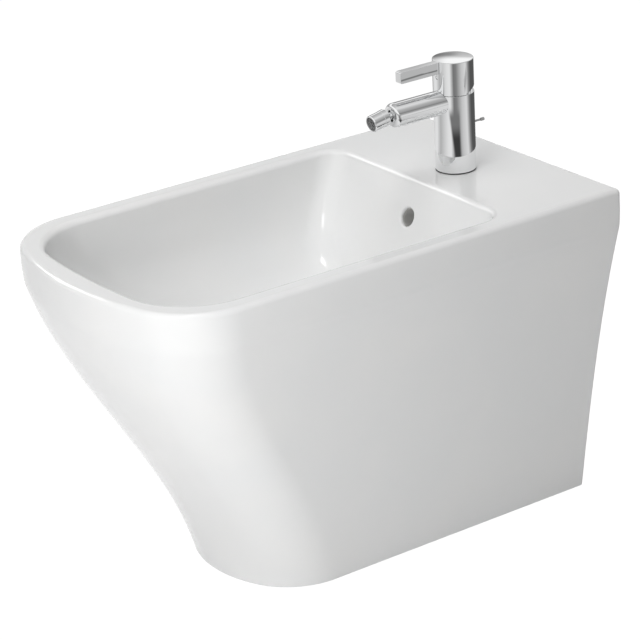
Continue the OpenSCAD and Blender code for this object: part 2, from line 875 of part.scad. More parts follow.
module floor_bracket() {
    color("gainsboro") difference() {
        union() {
            translate([55, bracket_y - 30, 0]) cube([upright_x - 55, 60, plate_t]);
            translate([upright_x - plate_t, bracket_y - 30, 0]) cube([plate_t, 60, 70]);
        }
        translate([bracket_x, bracket_y, -1]) cylinder(r = 4.5, h = 10);
        translate([upright_x, bracket_y, lug_z]) sideways() cylinder(r = bolt_r + 0.2, h = 20, center = true);
    }
}

module floor_bracket_left() {
    mirror([1, 0, 0]) floor_bracket();
}

module floor_bracket_right() {
    floor_bracket();
}

module bracket_pads() {
    color("dimgray") for (s = [-1, 1]) translate([s * (upright_x + lug_x) / 2, bracket_y, lug_z])
        sideways() difference() {
            cylinder(r = lug_r, h = lug_x - upright_x, center = true);
            cylinder(r = bolt_r + 0.2, h = 10, center = true);
        }
}

module bracket_screw() {
    color("gray") translate([upright_x - plate_t - 5.5, bracket_y, lug_z]) sideways() {
        cylinder(r = 7.2, h = 5.5, $fn = 6);
        translate([0, 0, 5]) cylinder(r = bolt_r, h = 18);
    }
}

module bracket_screws() {
    bracket_screw();
    mirror([1, 0, 0]) bracket_screw();
}

ceramic_body();
mixer_body();
mixer_base_gasket();
mixer_stud();
clamp_rubber();
clamp_plate();
stud_nut();
supply_tail_hot();
supply_tail_cold();
dome_ring();
cartridge_body();
cartridge_nut();
cartridge_rotor();
spindle();
spindle_pin();
handle_cap();
lever_bar();
lever_screw();
handle_grub_screw();
index_plug();
ball_stud();
ball_seal();
aerator_barrel();
aerator_insert();
lift_rod();
lift_knob();
rod_clevis();
clevis_screw();
ball_lever();
ball_seats();
ball_nut();
waste_flange();
flange_gasket();
under_gasket();
waste_backnut();
waste_body();
plug();
plug_seal();
trap_inlet_nut();
trap_dip_tube();
trap_body();
trap_cup();
trap_cup_seal();
trap_outlet_nut();
outlet_pipe();
floor_bracket_left();
floor_bracket_right();
bracket_pads();
bracket_screws();
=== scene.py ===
# %% [markdown]
# # A floor standing bidet
#
# The bidet is one piece of glazed ceramic that stands with its back to the wall. On its deck is a
# chrome mixer with a lever and a small spray nozzle, and a pop-up plug closes the drain in the bowl.
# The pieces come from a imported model, the frame, which also says what moves. This script gives that
# frame its looks: smooth meshes for the pieces that show, and a finish for each of them.

# %% Load the frame
import json
import math
import bmesh
import bpy
from mathutils import Matrix, Vector


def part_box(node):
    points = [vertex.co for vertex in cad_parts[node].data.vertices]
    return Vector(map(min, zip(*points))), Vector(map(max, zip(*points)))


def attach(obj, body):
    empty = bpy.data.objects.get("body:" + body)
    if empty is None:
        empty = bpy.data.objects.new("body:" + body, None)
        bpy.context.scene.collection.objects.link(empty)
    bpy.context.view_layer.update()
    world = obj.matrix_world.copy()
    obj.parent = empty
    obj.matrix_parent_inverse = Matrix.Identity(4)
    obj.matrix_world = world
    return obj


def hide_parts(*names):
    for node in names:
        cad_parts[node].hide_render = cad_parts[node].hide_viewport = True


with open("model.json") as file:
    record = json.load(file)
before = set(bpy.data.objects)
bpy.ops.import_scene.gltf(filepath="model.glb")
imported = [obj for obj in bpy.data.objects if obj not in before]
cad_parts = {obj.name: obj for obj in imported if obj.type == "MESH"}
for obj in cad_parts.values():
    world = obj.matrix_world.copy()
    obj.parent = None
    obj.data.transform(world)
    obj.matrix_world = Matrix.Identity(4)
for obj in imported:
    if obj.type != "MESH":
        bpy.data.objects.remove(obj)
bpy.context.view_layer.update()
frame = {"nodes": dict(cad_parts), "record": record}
MM = 0.001
IMAGE = 640

# %% [markdown]
# ## The camera
#
# The photograph was taken with a long lens from the front right and a little above. A long lens keeps
# parallel edges nearly parallel, as in most product pictures. The camera is built from its azimuth, its
# height angle, a small roll and its focal length in pixels, which is how a fitted camera is usually
# written down, and Blender's lens in millimetres follows from the sensor's width.

# %% Camera
CAMERA_AZIMUTH = 55.13
CAMERA_ELEVATION = 22.44
CAMERA_ROLL = -2.91
CAMERA_FOCAL_PX = 2830.45
CAMERA_PLACE = Vector((2.4682, -1.7030, 1.5074))
SENSOR_MM = 36.0


def camera_axes(azimuth, elevation, roll):
    """Right, up and backward directions of a camera that looks towards the part."""
    a, e, r = (math.radians(v) for v in (azimuth, elevation, roll))
    back = Vector((math.sin(a) * math.cos(e), -math.cos(a) * math.cos(e), math.sin(e)))
    level = Vector((math.cos(a), math.sin(a), 0))
    upright = back.cross(level)
    right = math.cos(r) * level + math.sin(r) * upright
    up = -math.sin(r) * level + math.cos(r) * upright
    return right, up, back


def make_camera():
    right, up, back = camera_axes(CAMERA_AZIMUTH, CAMERA_ELEVATION, CAMERA_ROLL)
    data = bpy.data.cameras.new("camera")
    data.sensor_width = SENSOR_MM
    data.lens = CAMERA_FOCAL_PX / IMAGE * SENSOR_MM
    data.clip_end = 50
    camera = bpy.data.objects.new("camera", data)
    turned = Matrix((right, up, back)).transposed().to_4x4()
    camera.matrix_world = Matrix.Translation(CAMERA_PLACE) @ turned
    bpy.context.scene.collection.objects.link(camera)
    bpy.context.scene.camera = camera
    return camera


camera = make_camera()
print("camera lens:", round(camera.data.lens, 1), "mm")

# %% [markdown]
# ## Writing materials as sums
#
# A procedural material is a sum of noise, masks and colours. In Blender each sum is a node, and many nodes
# are hard to read in a script. So a small class wraps a socket, and its operators add the Math nodes: an
# expression such as 0.08 + 0.05 * spots then reads as it would on paper. Every other node comes from one
# method that takes the node's type, its settings and what goes into its sockets.

# %% A socket that can be calculated with
class Wire:
    """An output socket. Arithmetic on it adds Math nodes to its tree."""

    def __init__(self, recipe, socket):
        self.recipe = recipe
        self.socket = socket

    def maths(self, operation, first, second=0.0):
        return self.recipe.node("ShaderNodeMath", {"operation": operation}, {0: first, 1: second})

    def __add__(self, other):
        return self.maths("ADD", self, other)

    def __radd__(self, other):
        return self.maths("ADD", other, self)

    def __sub__(self, other):
        return self.maths("SUBTRACT", self, other)

    def __rsub__(self, other):
        return self.maths("SUBTRACT", other, self)

    def __mul__(self, other):
        return self.maths("MULTIPLY", self, other)

    def __rmul__(self, other):
        return self.maths("MULTIPLY", other, self)

    def __truediv__(self, other):
        return self.maths("DIVIDE", self, other)


class Recipe:
    """A node tree of a material or the world."""

    def __init__(self, owner):
        owner.use_nodes = True
        self.tree = owner.node_tree
        self.tree.nodes.clear()

    def node(self, kind, settings=None, sockets=None, output=0):
        """Adds a node, sets its settings first and then its sockets, and returns one of its outputs."""
        node = self.tree.nodes.new(kind)
        for name, value in (settings or {}).items():
            if name == "stops":
                fill_ramp(node.color_ramp, value)
            else:
                setattr(node, name, value)
        for name, value in (sockets or {}).items():
            if isinstance(value, Wire):
                self.tree.links.new(value.socket, node.inputs[name])
            else:
                node.inputs[name].default_value = value
        return Wire(self, node.outputs[output] if node.outputs else None)

    def place(self, scale=(1, 1, 1)):
        """Object coordinates, scaled, so that a pattern stays on its piece."""
        spot = self.node("ShaderNodeTexCoord", output="Object")
        return self.node("ShaderNodeMapping", None, {"Vector": spot, "Scale": scale})

    def noise(self, scale, detail=3, place=None):
        return self.node("ShaderNodeTexNoise", None,
                         {"Vector": place or self.place(), "Scale": scale, "Detail": detail})

    def ramp(self, factor, stops):
        return self.node("ShaderNodeValToRGB", {"stops": stops}, {"Fac": factor})

    def bump(self, height, strength, distance):
        return self.node("ShaderNodeBump", None,
                         {"Height": height, "Strength": strength, "Distance": distance})


def grey(level):
    return (level, level, level, 1)


def fill_ramp(ramp, stops):
    """Sets a colour ramp from (place, colour) pairs in rising order."""
    while len(ramp.elements) < len(stops):
        ramp.elements.new(0.5)
    for element, (place, colour) in zip(ramp.elements, stops):
        element.position = place
        element.color = colour


def finish_of(name, build, **sockets):
    """A Principled material. build returns what varies, by socket; the rest are constants of the shader."""
    material = bpy.data.materials.new(name)
    recipe = Recipe(material)
    shader = recipe.node("ShaderNodeBsdfPrincipled", None, {**sockets, **build(recipe)})
    recipe.node("ShaderNodeOutputMaterial", None, {"Surface": shader})
    return material


print("sockets can be added, multiplied and divided")

# %% [markdown]
# ## Finishes
#
# Vitreous china is white clay under a clear, hard glaze. Up close the glaze has a faint orange peel, so its
# bump is a very fine noise, and it stays glossy. Clay that meets the floor, and the inside of the pedestal,
# is fired without glaze and stays matt and slightly sandy. The overflow's channel is narrow, and its clay is
# painted darker: painted shade for the dim inside of the channel.

# %% Glaze and bare clay
def glaze_recipe(recipe):
    cloud = recipe.noise(9, 2)
    peel = recipe.noise(900, 2)
    tone = recipe.ramp(cloud, [(0.35, (0.845, 0.85, 0.85, 1)), (0.65, (0.865, 0.865, 0.86, 1))])
    gloss = 0.07 + 0.05 * recipe.noise(30, 3)
    return {"Base Color": tone, "Roughness": gloss, "Normal": recipe.bump(peel, 0.05, 0.0002)}


def clay_recipe(recipe):
    sand = recipe.noise(1400, 4)
    tone = recipe.ramp(recipe.noise(40, 5), [(0.3, (0.72, 0.70, 0.66, 1)), (0.7, (0.80, 0.785, 0.75, 1))])
    return {"Base Color": tone, "Roughness": 0.75 + 0.15 * sand, "Normal": recipe.bump(sand, 0.35, 0.0004)}


# Painted shade: the channel's clay is painted darker than bare clay, for the dim inside of the narrow
# channel.
def channel_recipe(recipe):
    mottle = recipe.noise(60, 4)
    tone = recipe.ramp(mottle, [(0.3, (0.50, 0.50, 0.49, 1)), (0.7, (0.60, 0.595, 0.58, 1))])
    return {"Base Color": tone, "Roughness": 0.6 + 0.2 * mottle}


glaze = finish_of("white_glaze", glaze_recipe, IOR=1.5)
clay = finish_of("bare_clay", clay_recipe, IOR=1.45)
channel = finish_of("damp_channel", channel_recipe, IOR=1.4)
print("ceramic finishes:", glaze.name, clay.name, channel.name)

# %% [markdown]
# The mixer is brass under bright chrome plate. A plated mirror has next to no roughness, so what makes it
# read as real metal is what it reflects, together with faint dried water spots in its colour. The hardware
# below is duller: turned brass, drawn copper, zinc plated steel, rubber and acetal.

# %% Metals, rubber and plastic
def chrome_recipe(recipe):
    spots = recipe.ramp(recipe.noise(260, 4), [(0.60, grey(0)), (0.72, grey(1))])
    tone = recipe.node("ShaderNodeMix", {"data_type": "RGBA"},
                       {0: 0.12 * spots, 6: (0.83, 0.835, 0.84, 1), 7: (0.70, 0.71, 0.72, 1)}, output=2)
    return {"Base Color": tone}


def dull_chrome_recipe(recipe):
    wear = recipe.noise(120, 5)
    tone = recipe.ramp(wear, [(0.35, grey(0.66)), (0.7, grey(0.8))])
    return {"Base Color": tone, "Roughness": 0.12 + 0.1 * wear}


# Painted shade: the pull rod and its knob are plain chrome, and this dark base colour paints them dark.
def pin_shade_recipe(recipe):
    return {"Base Color": recipe.ramp(recipe.noise(120, 3), [(0.35, grey(0.22)), (0.7, grey(0.28))])}


def brass_recipe(recipe):
    rings = recipe.noise(60, 4, recipe.place((1, 1, 14)))
    tone = recipe.ramp(rings, [(0.35, (0.60, 0.42, 0.16, 1)), (0.65, (0.80, 0.62, 0.30, 1))])
    return {"Base Color": tone, "Roughness": 0.22 + 0.15 * rings}


def copper_recipe(recipe):
    stain = recipe.noise(45, 5)
    tone = recipe.ramp(stain, [(0.3, (0.48, 0.19, 0.10, 1)), (0.68, (0.83, 0.44, 0.29, 1))])
    return {"Base Color": tone, "Roughness": 0.2 + 0.25 * stain}


def steel_recipe(recipe):
    brushed = recipe.noise(90, 5, recipe.place((1, 1, 9)))
    tone = recipe.ramp(brushed, [(0.3, grey(0.5)), (0.7, grey(0.68))])
    return {"Base Color": tone, "Roughness": 0.26 + 0.18 * brushed,
            "Normal": recipe.bump(brushed, 0.05, 0.0002)}


def rubber_recipe(recipe):
    grain = recipe.noise(700, 3)
    tone = recipe.ramp(grain, [(0.3, grey(0.022)), (0.7, grey(0.045))])
    return {"Base Color": tone, "Roughness": 0.6 + 0.2 * grain, "Normal": recipe.bump(grain, 0.15, 0.0002)}


def acetal_recipe(recipe):
    flow = recipe.noise(35, 3)
    tone = recipe.ramp(flow, [(0.3, (0.78, 0.78, 0.76, 1)), (0.7, (0.86, 0.86, 0.84, 1))])
    return {"Base Color": tone, "Roughness": 0.32 + 0.12 * flow}


# Painted shade: the insert is white acetal, and this dark grey paints the shade in the nozzle's mouth.
def mouth_shade_recipe(recipe):
    flow = recipe.noise(35, 3)
    tone = recipe.ramp(flow, [(0.3, grey(0.15)), (0.7, grey(0.19))])
    return {"Base Color": tone, "Roughness": 0.4 + 0.12 * flow}


chrome = finish_of("bright_chrome", chrome_recipe, Metallic=1.0, Roughness=0.0)
dull_chrome = finish_of("dull_chrome", dull_chrome_recipe, Metallic=1.0)
smoked_chrome = finish_of("smoked_chrome", pin_shade_recipe, Metallic=1.0, Roughness=0.1)
brass = finish_of("turned_brass", brass_recipe, Metallic=1.0)
copper = finish_of("drawn_copper", copper_recipe, Metallic=1.0)
steel = finish_of("plated_steel", steel_recipe, Metallic=1.0)
rubber = finish_of("black_rubber", rubber_recipe)
acetal = finish_of("white_acetal", acetal_recipe, IOR=1.48)
grey_acetal = finish_of("grey_acetal", mouth_shade_recipe, IOR=1.48)
FINISH_OF_SLOT = {"ceramic": glaze, "chrome": dull_chrome, "brass": brass, "copper": copper,
                  "steel": steel, "rubber": rubber, "white_plastic": acetal}
print("finishes:", len(bpy.data.materials))

# %% [markdown]
# ## Finishes for the frame's own pieces
#
# Most of the hardware under the bowl is shown by the frame's own solids. Each solid names the kind of
# material that it is made of, so one loop gives every one of them its finish.

# %% Dress the frame's solids
SLOT_OF = {part["node"]: part["material_slot"] for part in frame["record"]["subparts"]}
for name, solid in frame["nodes"].items():
    for holder in solid.material_slots:
        holder.material = FINISH_OF_SLOT[SLOT_OF[name]]
print("solids with a finish:", len(SLOT_OF))

# %% [markdown]
# ## Turning, cutting and joining
#
# Taps and traps are mostly turned on a lathe, so their shape is a profile spun about an axis. A real lathe
# part never has a knife edge: the profile's corners are rounded by a few tenths of a millimetre, and these
# small rounds are what catches the light. The helpers below work in millimetres and put the result in place.

# %% Profiles with rounded corners
def filleted(corners, steps=4):
    """Closed profile. Each corner is (radius from the axis, height) or has a third number, its rounding."""
    points = []
    for i, corner in enumerate(corners):
        here = Vector(corner[:2])
        rounding = corner[2] if len(corner) > 2 else 0
        if not rounding:
            points.append(here)
            continue
        to_last = (Vector(corners[i - 1][:2]) - here).normalized()
        to_next = (Vector(corners[(i + 1) % len(corners)][:2]) - here).normalized()
        half = math.acos(max(-1, min(1, to_last.dot(to_next)))) / 2
        centre = here + (to_last + to_next).normalized() * rounding / math.sin(half)
        first = here + to_last * rounding / math.tan(half) - centre
        last = here + to_next * rounding / math.tan(half) - centre
        sweep = math.pi - 2 * half
        for k in range(steps + 1):
            a = sweep * k / steps
            arm = (first * math.sin(sweep - a) + last * math.sin(a)) / math.sin(sweep)
            points.append(centre + arm)
    return points


print("a square with soft corners:", len(filleted([(0, 0, 1), (9, 0, 1), (9, 9, 1), (0, 9, 1)])), "points")


# %% Turned shapes
def turned(corners, place=Matrix(), segments=96, steps=4):
    """A bmesh of the closed profile spun about Z and then put in its place, in millimetres."""
    bm = bmesh.new()
    rings = []
    for point in filleted(corners, steps):
        around = 1 if point.x < 1e-6 else segments
        turns = [2 * math.pi * k / segments for k in range(around)]
        rings.append([bm.verts.new((point.x * math.cos(a), point.x * math.sin(a), point.y)) for a in turns])
    for ring, following in zip(rings, rings[1:] + rings[:1]):
        if len(ring) == len(following) == 1:
            continue
        for k in range(segments):
            m = (k + 1) % segments
            corners_of_face = [ring[k % len(ring)], ring[m % len(ring)],
                               following[m % len(following)], following[k % len(following)]]
            bm.faces.new(list(dict.fromkeys(corners_of_face)))
    bmesh.ops.recalc_face_normals(bm, faces=bm.faces)
    bm.transform(place)
    return bm


def extruded(outline, low, high, place=Matrix()):
    """A bmesh of a flat outline drawn in Y and Z, from x = low to x = high, in millimetres."""
    bm = bmesh.new()
    ends = [[bm.verts.new((x, y, z)) for y, z in outline] for x in (low, high)]
    bm.faces.new(ends[0])
    bm.faces.new(ends[1])
    for k in range(len(outline)):
        m = (k + 1) % len(outline)
        bm.faces.new([ends[0][k], ends[0][m], ends[1][m], ends[1][k]])
    bmesh.ops.recalc_face_normals(bm, faces=bm.faces)
    bm.transform(place)
    return bm


def as_object(name, bm):
    """A bmesh in millimetres becomes an object in metres, with smooth faces."""
    bm.transform(Matrix.Scale(MM, 4))
    mesh = bpy.data.meshes.new(name)
    bm.to_mesh(mesh)
    bm.free()
    mesh.shade_smooth()
    thing = bpy.data.objects.new(name, mesh)
    bpy.context.scene.collection.objects.link(thing)
    return thing


def drop(thing):
    mesh = thing.data
    bpy.data.objects.remove(thing)
    bpy.data.meshes.remove(mesh)


def settle(thing):
    """Turns an object's modifiers into plain mesh."""
    seen = thing.evaluated_get(bpy.context.evaluated_depsgraph_get())
    mesh = bpy.data.meshes.new_from_object(seen)
    thing.modifiers.clear()
    thing.data = mesh
    return thing


def carve(thing, tools, operation="DIFFERENCE"):
    """Cuts the tools out of a closed mesh, or joins them to it. The tools are used up."""
    for tool in tools:
        step = thing.modifiers.new(tool.name, "BOOLEAN")
        step.operation = operation
        step.solver = "EXACT"
        step.object = tool
    settle(thing)
    for tool in tools:
        drop(tool)
    return thing


print("tools: turned, extruded, carve")


# %% [markdown]
# A polished surface shows every flaw of its shading. Two things keep it clean: edges sharper than a set
# angle are marked sharp, and on faces that lie on a known cylinder the exact direction away from the axis
# replaces the averaged one. Flat faces are favoured elsewhere, so that a rounded edge doesn't shade them.

# %% Clean shading
def crisp(thing, angle=35):
    """Marks sharp edges, and lets large flat faces keep their own direction."""
    thing.data.set_sharp_from_angle(angle=math.radians(angle))
    even = thing.modifiers.new("even", "WEIGHTED_NORMAL")
    even.keep_sharp = True
    return settle(thing)


def true_round(thing, cylinders):
    """Sets the exact direction on faces whose corners all lie on one of these (place, axis, radius)."""
    mesh = thing.data
    directions = [Vector(corner.vector) for corner in mesh.corner_normals]
    for face in mesh.polygons:
        for place, axis, radius in cylinders:
            away = [mesh.vertices[v].co / MM - place for v in face.vertices]
            away = [a - axis * a.dot(axis) for a in away]
            if all(abs(a.length - radius) < 0.02 for a in away):
                sign = 1 if face.normal.dot(sum(away, Vector())) > 0 else -1
                for loop, a in zip(face.loop_indices, away):
                    directions[loop] = sign * a.normalized()
    mesh.normals_split_custom_set(directions)
    return thing


def finished(thing, material, body, node):
    """Gives a piece its material and the body it rides on, and hides the solid that it stands for."""
    thing.data.materials.clear()
    thing.data.materials.append(material)
    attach(thing, body)
    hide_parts(node)
    return thing


print("shading helpers ready")

# %% [markdown]
# ## The ceramic body
#
# The body is cast in a plaster mould. Any level cut through it has the same kind of outline: a shallow arc
# at the nose, two rounder corners, straight sides and a flat back with small corners. So the mesh is a stack
# of such outlines, each joined to the next by a strip of quads. The stack runs up the outside, over the rim,
# down the bowl to the drain, back up under the bowl and down inside the pedestal to the foot, where it meets
# its start. This closes the skin with no poles and no seams.

# %% One level outline
N_FRONT, N_CORNER, N_SIDE, N_REAR, N_BACK = 12, 16, 14, 7, 20


def spread(first, last, count):
    """count values from first towards last, without last."""
    return [first + (last - first) * i / count for i in range(count)]


def half_outline(width, back, front, rear_r, corner_r, front_r):
    """From the middle of the nose round the right side to the middle of the back."""
    corner_y = front + front_r - math.sqrt((front_r - corner_r) ** 2 - (width - corner_r) ** 2)
    turn = math.asin((width - corner_r) / (front_r - corner_r))
    side_end = back - rear_r
    points = [(front_r * math.sin(a), front + front_r * (1 - math.cos(a))) for a in spread(0, turn, N_FRONT)]
    points += [(width - corner_r + corner_r * math.sin(a), corner_y - corner_r * math.cos(a))
               for a in spread(turn, math.pi / 2, N_CORNER)]
    points += [(width, y) for y in spread(corner_y, side_end, N_SIDE)]
    points += [(width - rear_r + rear_r * math.cos(a), side_end + rear_r * math.sin(a))
               for a in spread(0, math.pi / 2, N_REAR)]
    points += [(x, back) for x in spread(width - rear_r, 0, N_BACK)]
    return points + [(0, back)]


def outline(z, *sizes):
    half = half_outline(*sizes)
    return [(x, y, z) for x, y in half] + [(-x, y, z) for x, y in half[-2:0:-1]]


print("points in one outline:", len(outline(0, 185, 315, -315, 5, 90, 400)))

# %% Sizes of the body
body_low, body_high = ([v / MM for v in corner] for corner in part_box("ceramic_body"))
WALL_Y = body_high[1]
RIM_HALF = body_high[0]
RIM_LENGTH = body_high[1] - body_low[1]
RIM_HEIGHT = body_high[2]
FOOT_HALF = 112.5
FOOT_LENGTH = 463
CREASE_HEIGHT = 355
CREASE_SOFT = 4
BAND = 0.8
FOOT_CORNER, RIM_CORNER = 84, 90
FOOT_FRONT, RIM_FRONT = 150, 400
REAR_CORNER = 5
EDGE = 6
PEDESTAL_WALL = 12
print("rim:", round(2 * RIM_HALF, 1), "x", round(RIM_LENGTH, 1), "x", round(RIM_HEIGHT, 1), "mm")


# %% [markdown]
# Seen from the front the side leans out from a narrow foot, and seen from the side the nose swings forward
# in a long S. Just under the rim a soft crease marks off an upright band. A formula gives each of these
# from the height, and the crease is softened by averaging the formula over a few millimetres.

# %% How wide and how long the body is at each height
def band_share(z):
    return max((z - CREASE_HEIGHT) / (RIM_HEIGHT - CREASE_HEIGHT), 0)


def half_width(z):
    t = min(max(z, 0) / CREASE_HEIGHT, 1)
    lean = 0.74 * t + 0.26 * t ** 2.7
    bulge = BAND * math.sin(math.pi * band_share(z))
    return FOOT_HALF + (RIM_HALF - BAND - FOOT_HALF) * lean + bulge


def length(z):
    u = min(max(z, 0) / CREASE_HEIGHT, 1) ** 1.05
    swing = 0.5 * (u + u * u * (3 - 2 * u))
    return FOOT_LENGTH + (RIM_LENGTH - 1 - FOOT_LENGTH) * swing + math.sin(math.pi * band_share(z))


def softened(size, z):
    if abs(z - CREASE_HEIGHT) > 3 * CREASE_SOFT:
        return size(z)
    window = [CREASE_SOFT * k / 4 for k in range(-4, 5)]
    return sum(size(z + shift) for shift in window) / len(window)


def skin(z, inset=0):
    share = z / RIM_HEIGHT
    return outline(z, softened(half_width, z) - inset, WALL_Y - inset, WALL_Y - softened(length, z) + inset,
                   max(REAR_CORNER - inset, 1), FOOT_CORNER + (RIM_CORNER - FOOT_CORNER) * share - inset,
                   FOOT_FRONT + (RIM_FRONT - FOOT_FRONT) * share - inset)


def inside(z):
    share = z / RIM_HEIGHT
    return outline(z, half_width(z) - PEDESTAL_WALL, WALL_Y - PEDESTAL_WALL,
                   WALL_Y - length(z) + PEDESTAL_WALL + 4, 3,
                   FOOT_CORNER + (RIM_CORNER - FOOT_CORNER) * share - PEDESTAL_WALL,
                   FOOT_FRONT + (RIM_FRONT - FOOT_FRONT) * share - PEDESTAL_WALL)


print("width at the crease:", round(2 * half_width(CREASE_HEIGHT), 1), "mm")

# %% [markdown]
# The bowl is deep and round in its sides, but its back wall is a flat slope, so that the overflow and the
# spray have a plane to work on. Its section from rim to floor is a superellipse: steep at the rim, flat at
# the drain, with no corner between.

# %% The bowl at each depth
OPENING_HALF = 157.5
OPENING_BACK = WALL_Y - 153
OPENING_FRONT = body_low[1] + 32
OPENING_EDGE = 7
BOWL_TOP = RIM_HEIGHT - OPENING_EDGE
FLOOR_HEIGHT = 255
BOWL_DEPTH = BOWL_TOP - FLOOR_HEIGHT
BOWL_POWER = 2.4
BOWL_WALL = 14
BACK_SLOPE = math.radians(23)
DRAIN_Y = WALL_Y - 250
DRAIN_FLAT = 34
FOLD = 0.5


def back_wall_y(z):
    return OPENING_BACK - (BOWL_TOP - z) * math.tan(BACK_SLOPE)


def bowl(q, side_out=0, back_out=0, down=0):
    """q is 0 at the rim and 1 at the floor. The outs and down make the underside, a wall further."""
    reach = max(1 - q ** BOWL_POWER, 0) ** (1 / BOWL_POWER)
    z = BOWL_TOP - q * BOWL_DEPTH
    front = DRAIN_Y - DRAIN_FLAT
    return outline(z - down, DRAIN_FLAT + (OPENING_HALF - DRAIN_FLAT) * reach + side_out,
                   back_wall_y(z) - 5 * q ** 14 + back_out,
                   front + (OPENING_FRONT - front) * reach - side_out,
                   28 + 5.5 * q ** 3 + min(side_out, 6), DRAIN_FLAT - 1 + 50 * reach + side_out,
                   60 + 840 * reach * reach + side_out)


def under(q):
    return bowl(q, BOWL_WALL * (1 - q ** 3), BOWL_WALL * (1 - q ** 8), BOWL_WALL * q ** 1.5)


def opening(angle):
    """The rounded edge of the opening: 90 degrees is on the flat rim, 0 is where the bowl starts."""
    out = OPENING_EDGE * (1 - math.cos(angle))
    return outline(BOWL_TOP + OPENING_EDGE * math.sin(angle), OPENING_HALF + out, OPENING_BACK + out,
                   OPENING_FRONT - out, 28 + out, 83 + out, 900 + out)


def round_drain(z, radius):
    return outline(z, radius, DRAIN_Y + radius, DRAIN_Y - radius, radius - 0.5, radius - 0.5, radius * 1.4)


print("bowl:", round(BOWL_DEPTH + OPENING_EDGE), "mm deep, drain at y =", round(DRAIN_Y))

# %% [markdown]
# Over the deck, rings lie close together beside each rounded edge and far apart in the flat. These support
# rings hold the flat flat, so that reflections run straight across it and only bend in the last few
# millimetres.

# %% Stack the outlines
RECESS_HEIGHT = FLOOR_HEIGHT - 3.5
BOSS_HEIGHT = FLOOR_HEIGHT - 37
FOOT_EDGE = 1.5
DECK_STEPS = [0.02, 0.08, 0.2, 0.35, 0.5, 0.65, 0.8, 0.92, 0.98]
quarter = [math.radians(a) for a in (15, 30, 45, 60, 75, 90)]


def between(ring, other, share):
    return [tuple(a + (b - a) * share for a, b in zip(p, q)) for p, q in zip(ring, other)]


outside = [skin(FOOT_EDGE * (1 - math.cos(a)), 1.2 * (1 - math.sin(a))) for a in [0] + quarter]
outside += [skin(z) for z in [4, 10] + spread(20, 340, 26)]
outside += [skin(CREASE_HEIGHT + shift) for shift in (-15, -10, -7, -5, -3.5, -2, -1, 0, 1, 2, 3.5, 5, 8)]
outside += [skin(z) for z in spread(368, RIM_HEIGHT - EDGE, 6) + [RIM_HEIGHT - EDGE]]
outside += [skin(RIM_HEIGHT - EDGE * (1 - math.sin(a)), EDGE * (1 - math.cos(a))) for a in quarter]
rim_ring = opening(math.pi / 2)
deck = [between(outside[-1], rim_ring, share) for share in DECK_STEPS]
edge = [opening(a) for a in reversed(quarter)]
hollow = [bowl(math.sin(math.pi / 2 * i / 40) ** (2 / BOWL_POWER)) for i in range(41)]
drain = [round_drain(FLOOR_HEIGHT, 33.4), round_drain(FLOOR_HEIGHT - 0.4, 33), round_drain(RECESS_HEIGHT, 33),
         round_drain(RECESS_HEIGHT, 23), round_drain(BOSS_HEIGHT, 23)]
glazed_rings = len(outside + deck + edge + hollow + drain)
below = [round_drain(BOSS_HEIGHT, 36), round_drain(FLOOR_HEIGHT - 15, 37)]
below += [under(q) for q in (0.985, 0.97, 0.95, 0.92, 0.88, 0.83, 0.78, 0.71, 0.65, 0.57, FOLD)]
fold_z = BOWL_TOP - FOLD * BOWL_DEPTH - BOWL_WALL * FOLD ** 1.5
below += [inside(z) for z in [fold_z] + list(range(300, 0, -20)) + [0]]
levels = outside + deck + edge + hollow + drain + below
print("outlines:", len(levels), "of", len(levels[0]), "points")


# %% Join them to a closed skin
def stacked(levels, glazed):
    """Material 0 is glaze, and 1, from the drain's underside to the foot, is bare clay."""
    bm = bmesh.new()
    rings = [[bm.verts.new(point) for point in level] for level in levels]
    for i, ring in enumerate(rings):
        following = rings[(i + 1) % len(rings)]
        for k in range(len(ring)):
            m = (k + 1) % len(ring)
            face = bm.faces.new([ring[k], ring[m], following[m], following[k]])
            face.material_index = 0 if i < glazed - 1 else 1
    bmesh.ops.recalc_face_normals(bm, faces=bm.faces)
    return bm


body_mesh = stacked(levels, glazed_rings)
print("faces:", len(body_mesh.faces))

# %% [markdown]
# The overflow is a round hole in the back wall. A plain cut would leave a knife edge that no glaze can hold,
# so the patch of wall around it is opened and filled again up to a circle, which then rolls inwards over a
# small radius before the channel starts.

# %% Overflow hole
OVERFLOW_R = 11
OVERFLOW_ROLL = 2.5
OVERFLOW_DEPTH = 24
OVERFLOW_SIDES = 48
overflow_at = Vector((0, back_wall_y(358), 358))
into_bowl = Vector((0, -math.cos(BACK_SLOPE), math.sin(BACK_SLOPE)))


def circle_of(bm, radius, depth):
    """A ring of points round the overflow's axis, at that depth behind the wall's face."""
    sideways, upwards = Vector((1, 0, 0)), into_bowl.cross(Vector((1, 0, 0)))
    turns = [2 * math.pi * k / OVERFLOW_SIDES for k in range(OVERFLOW_SIDES)]
    centre = overflow_at - depth * into_bowl
    return [bm.verts.new(centre + radius * (math.cos(a) * sideways + math.sin(a) * upwards)) for a in turns]


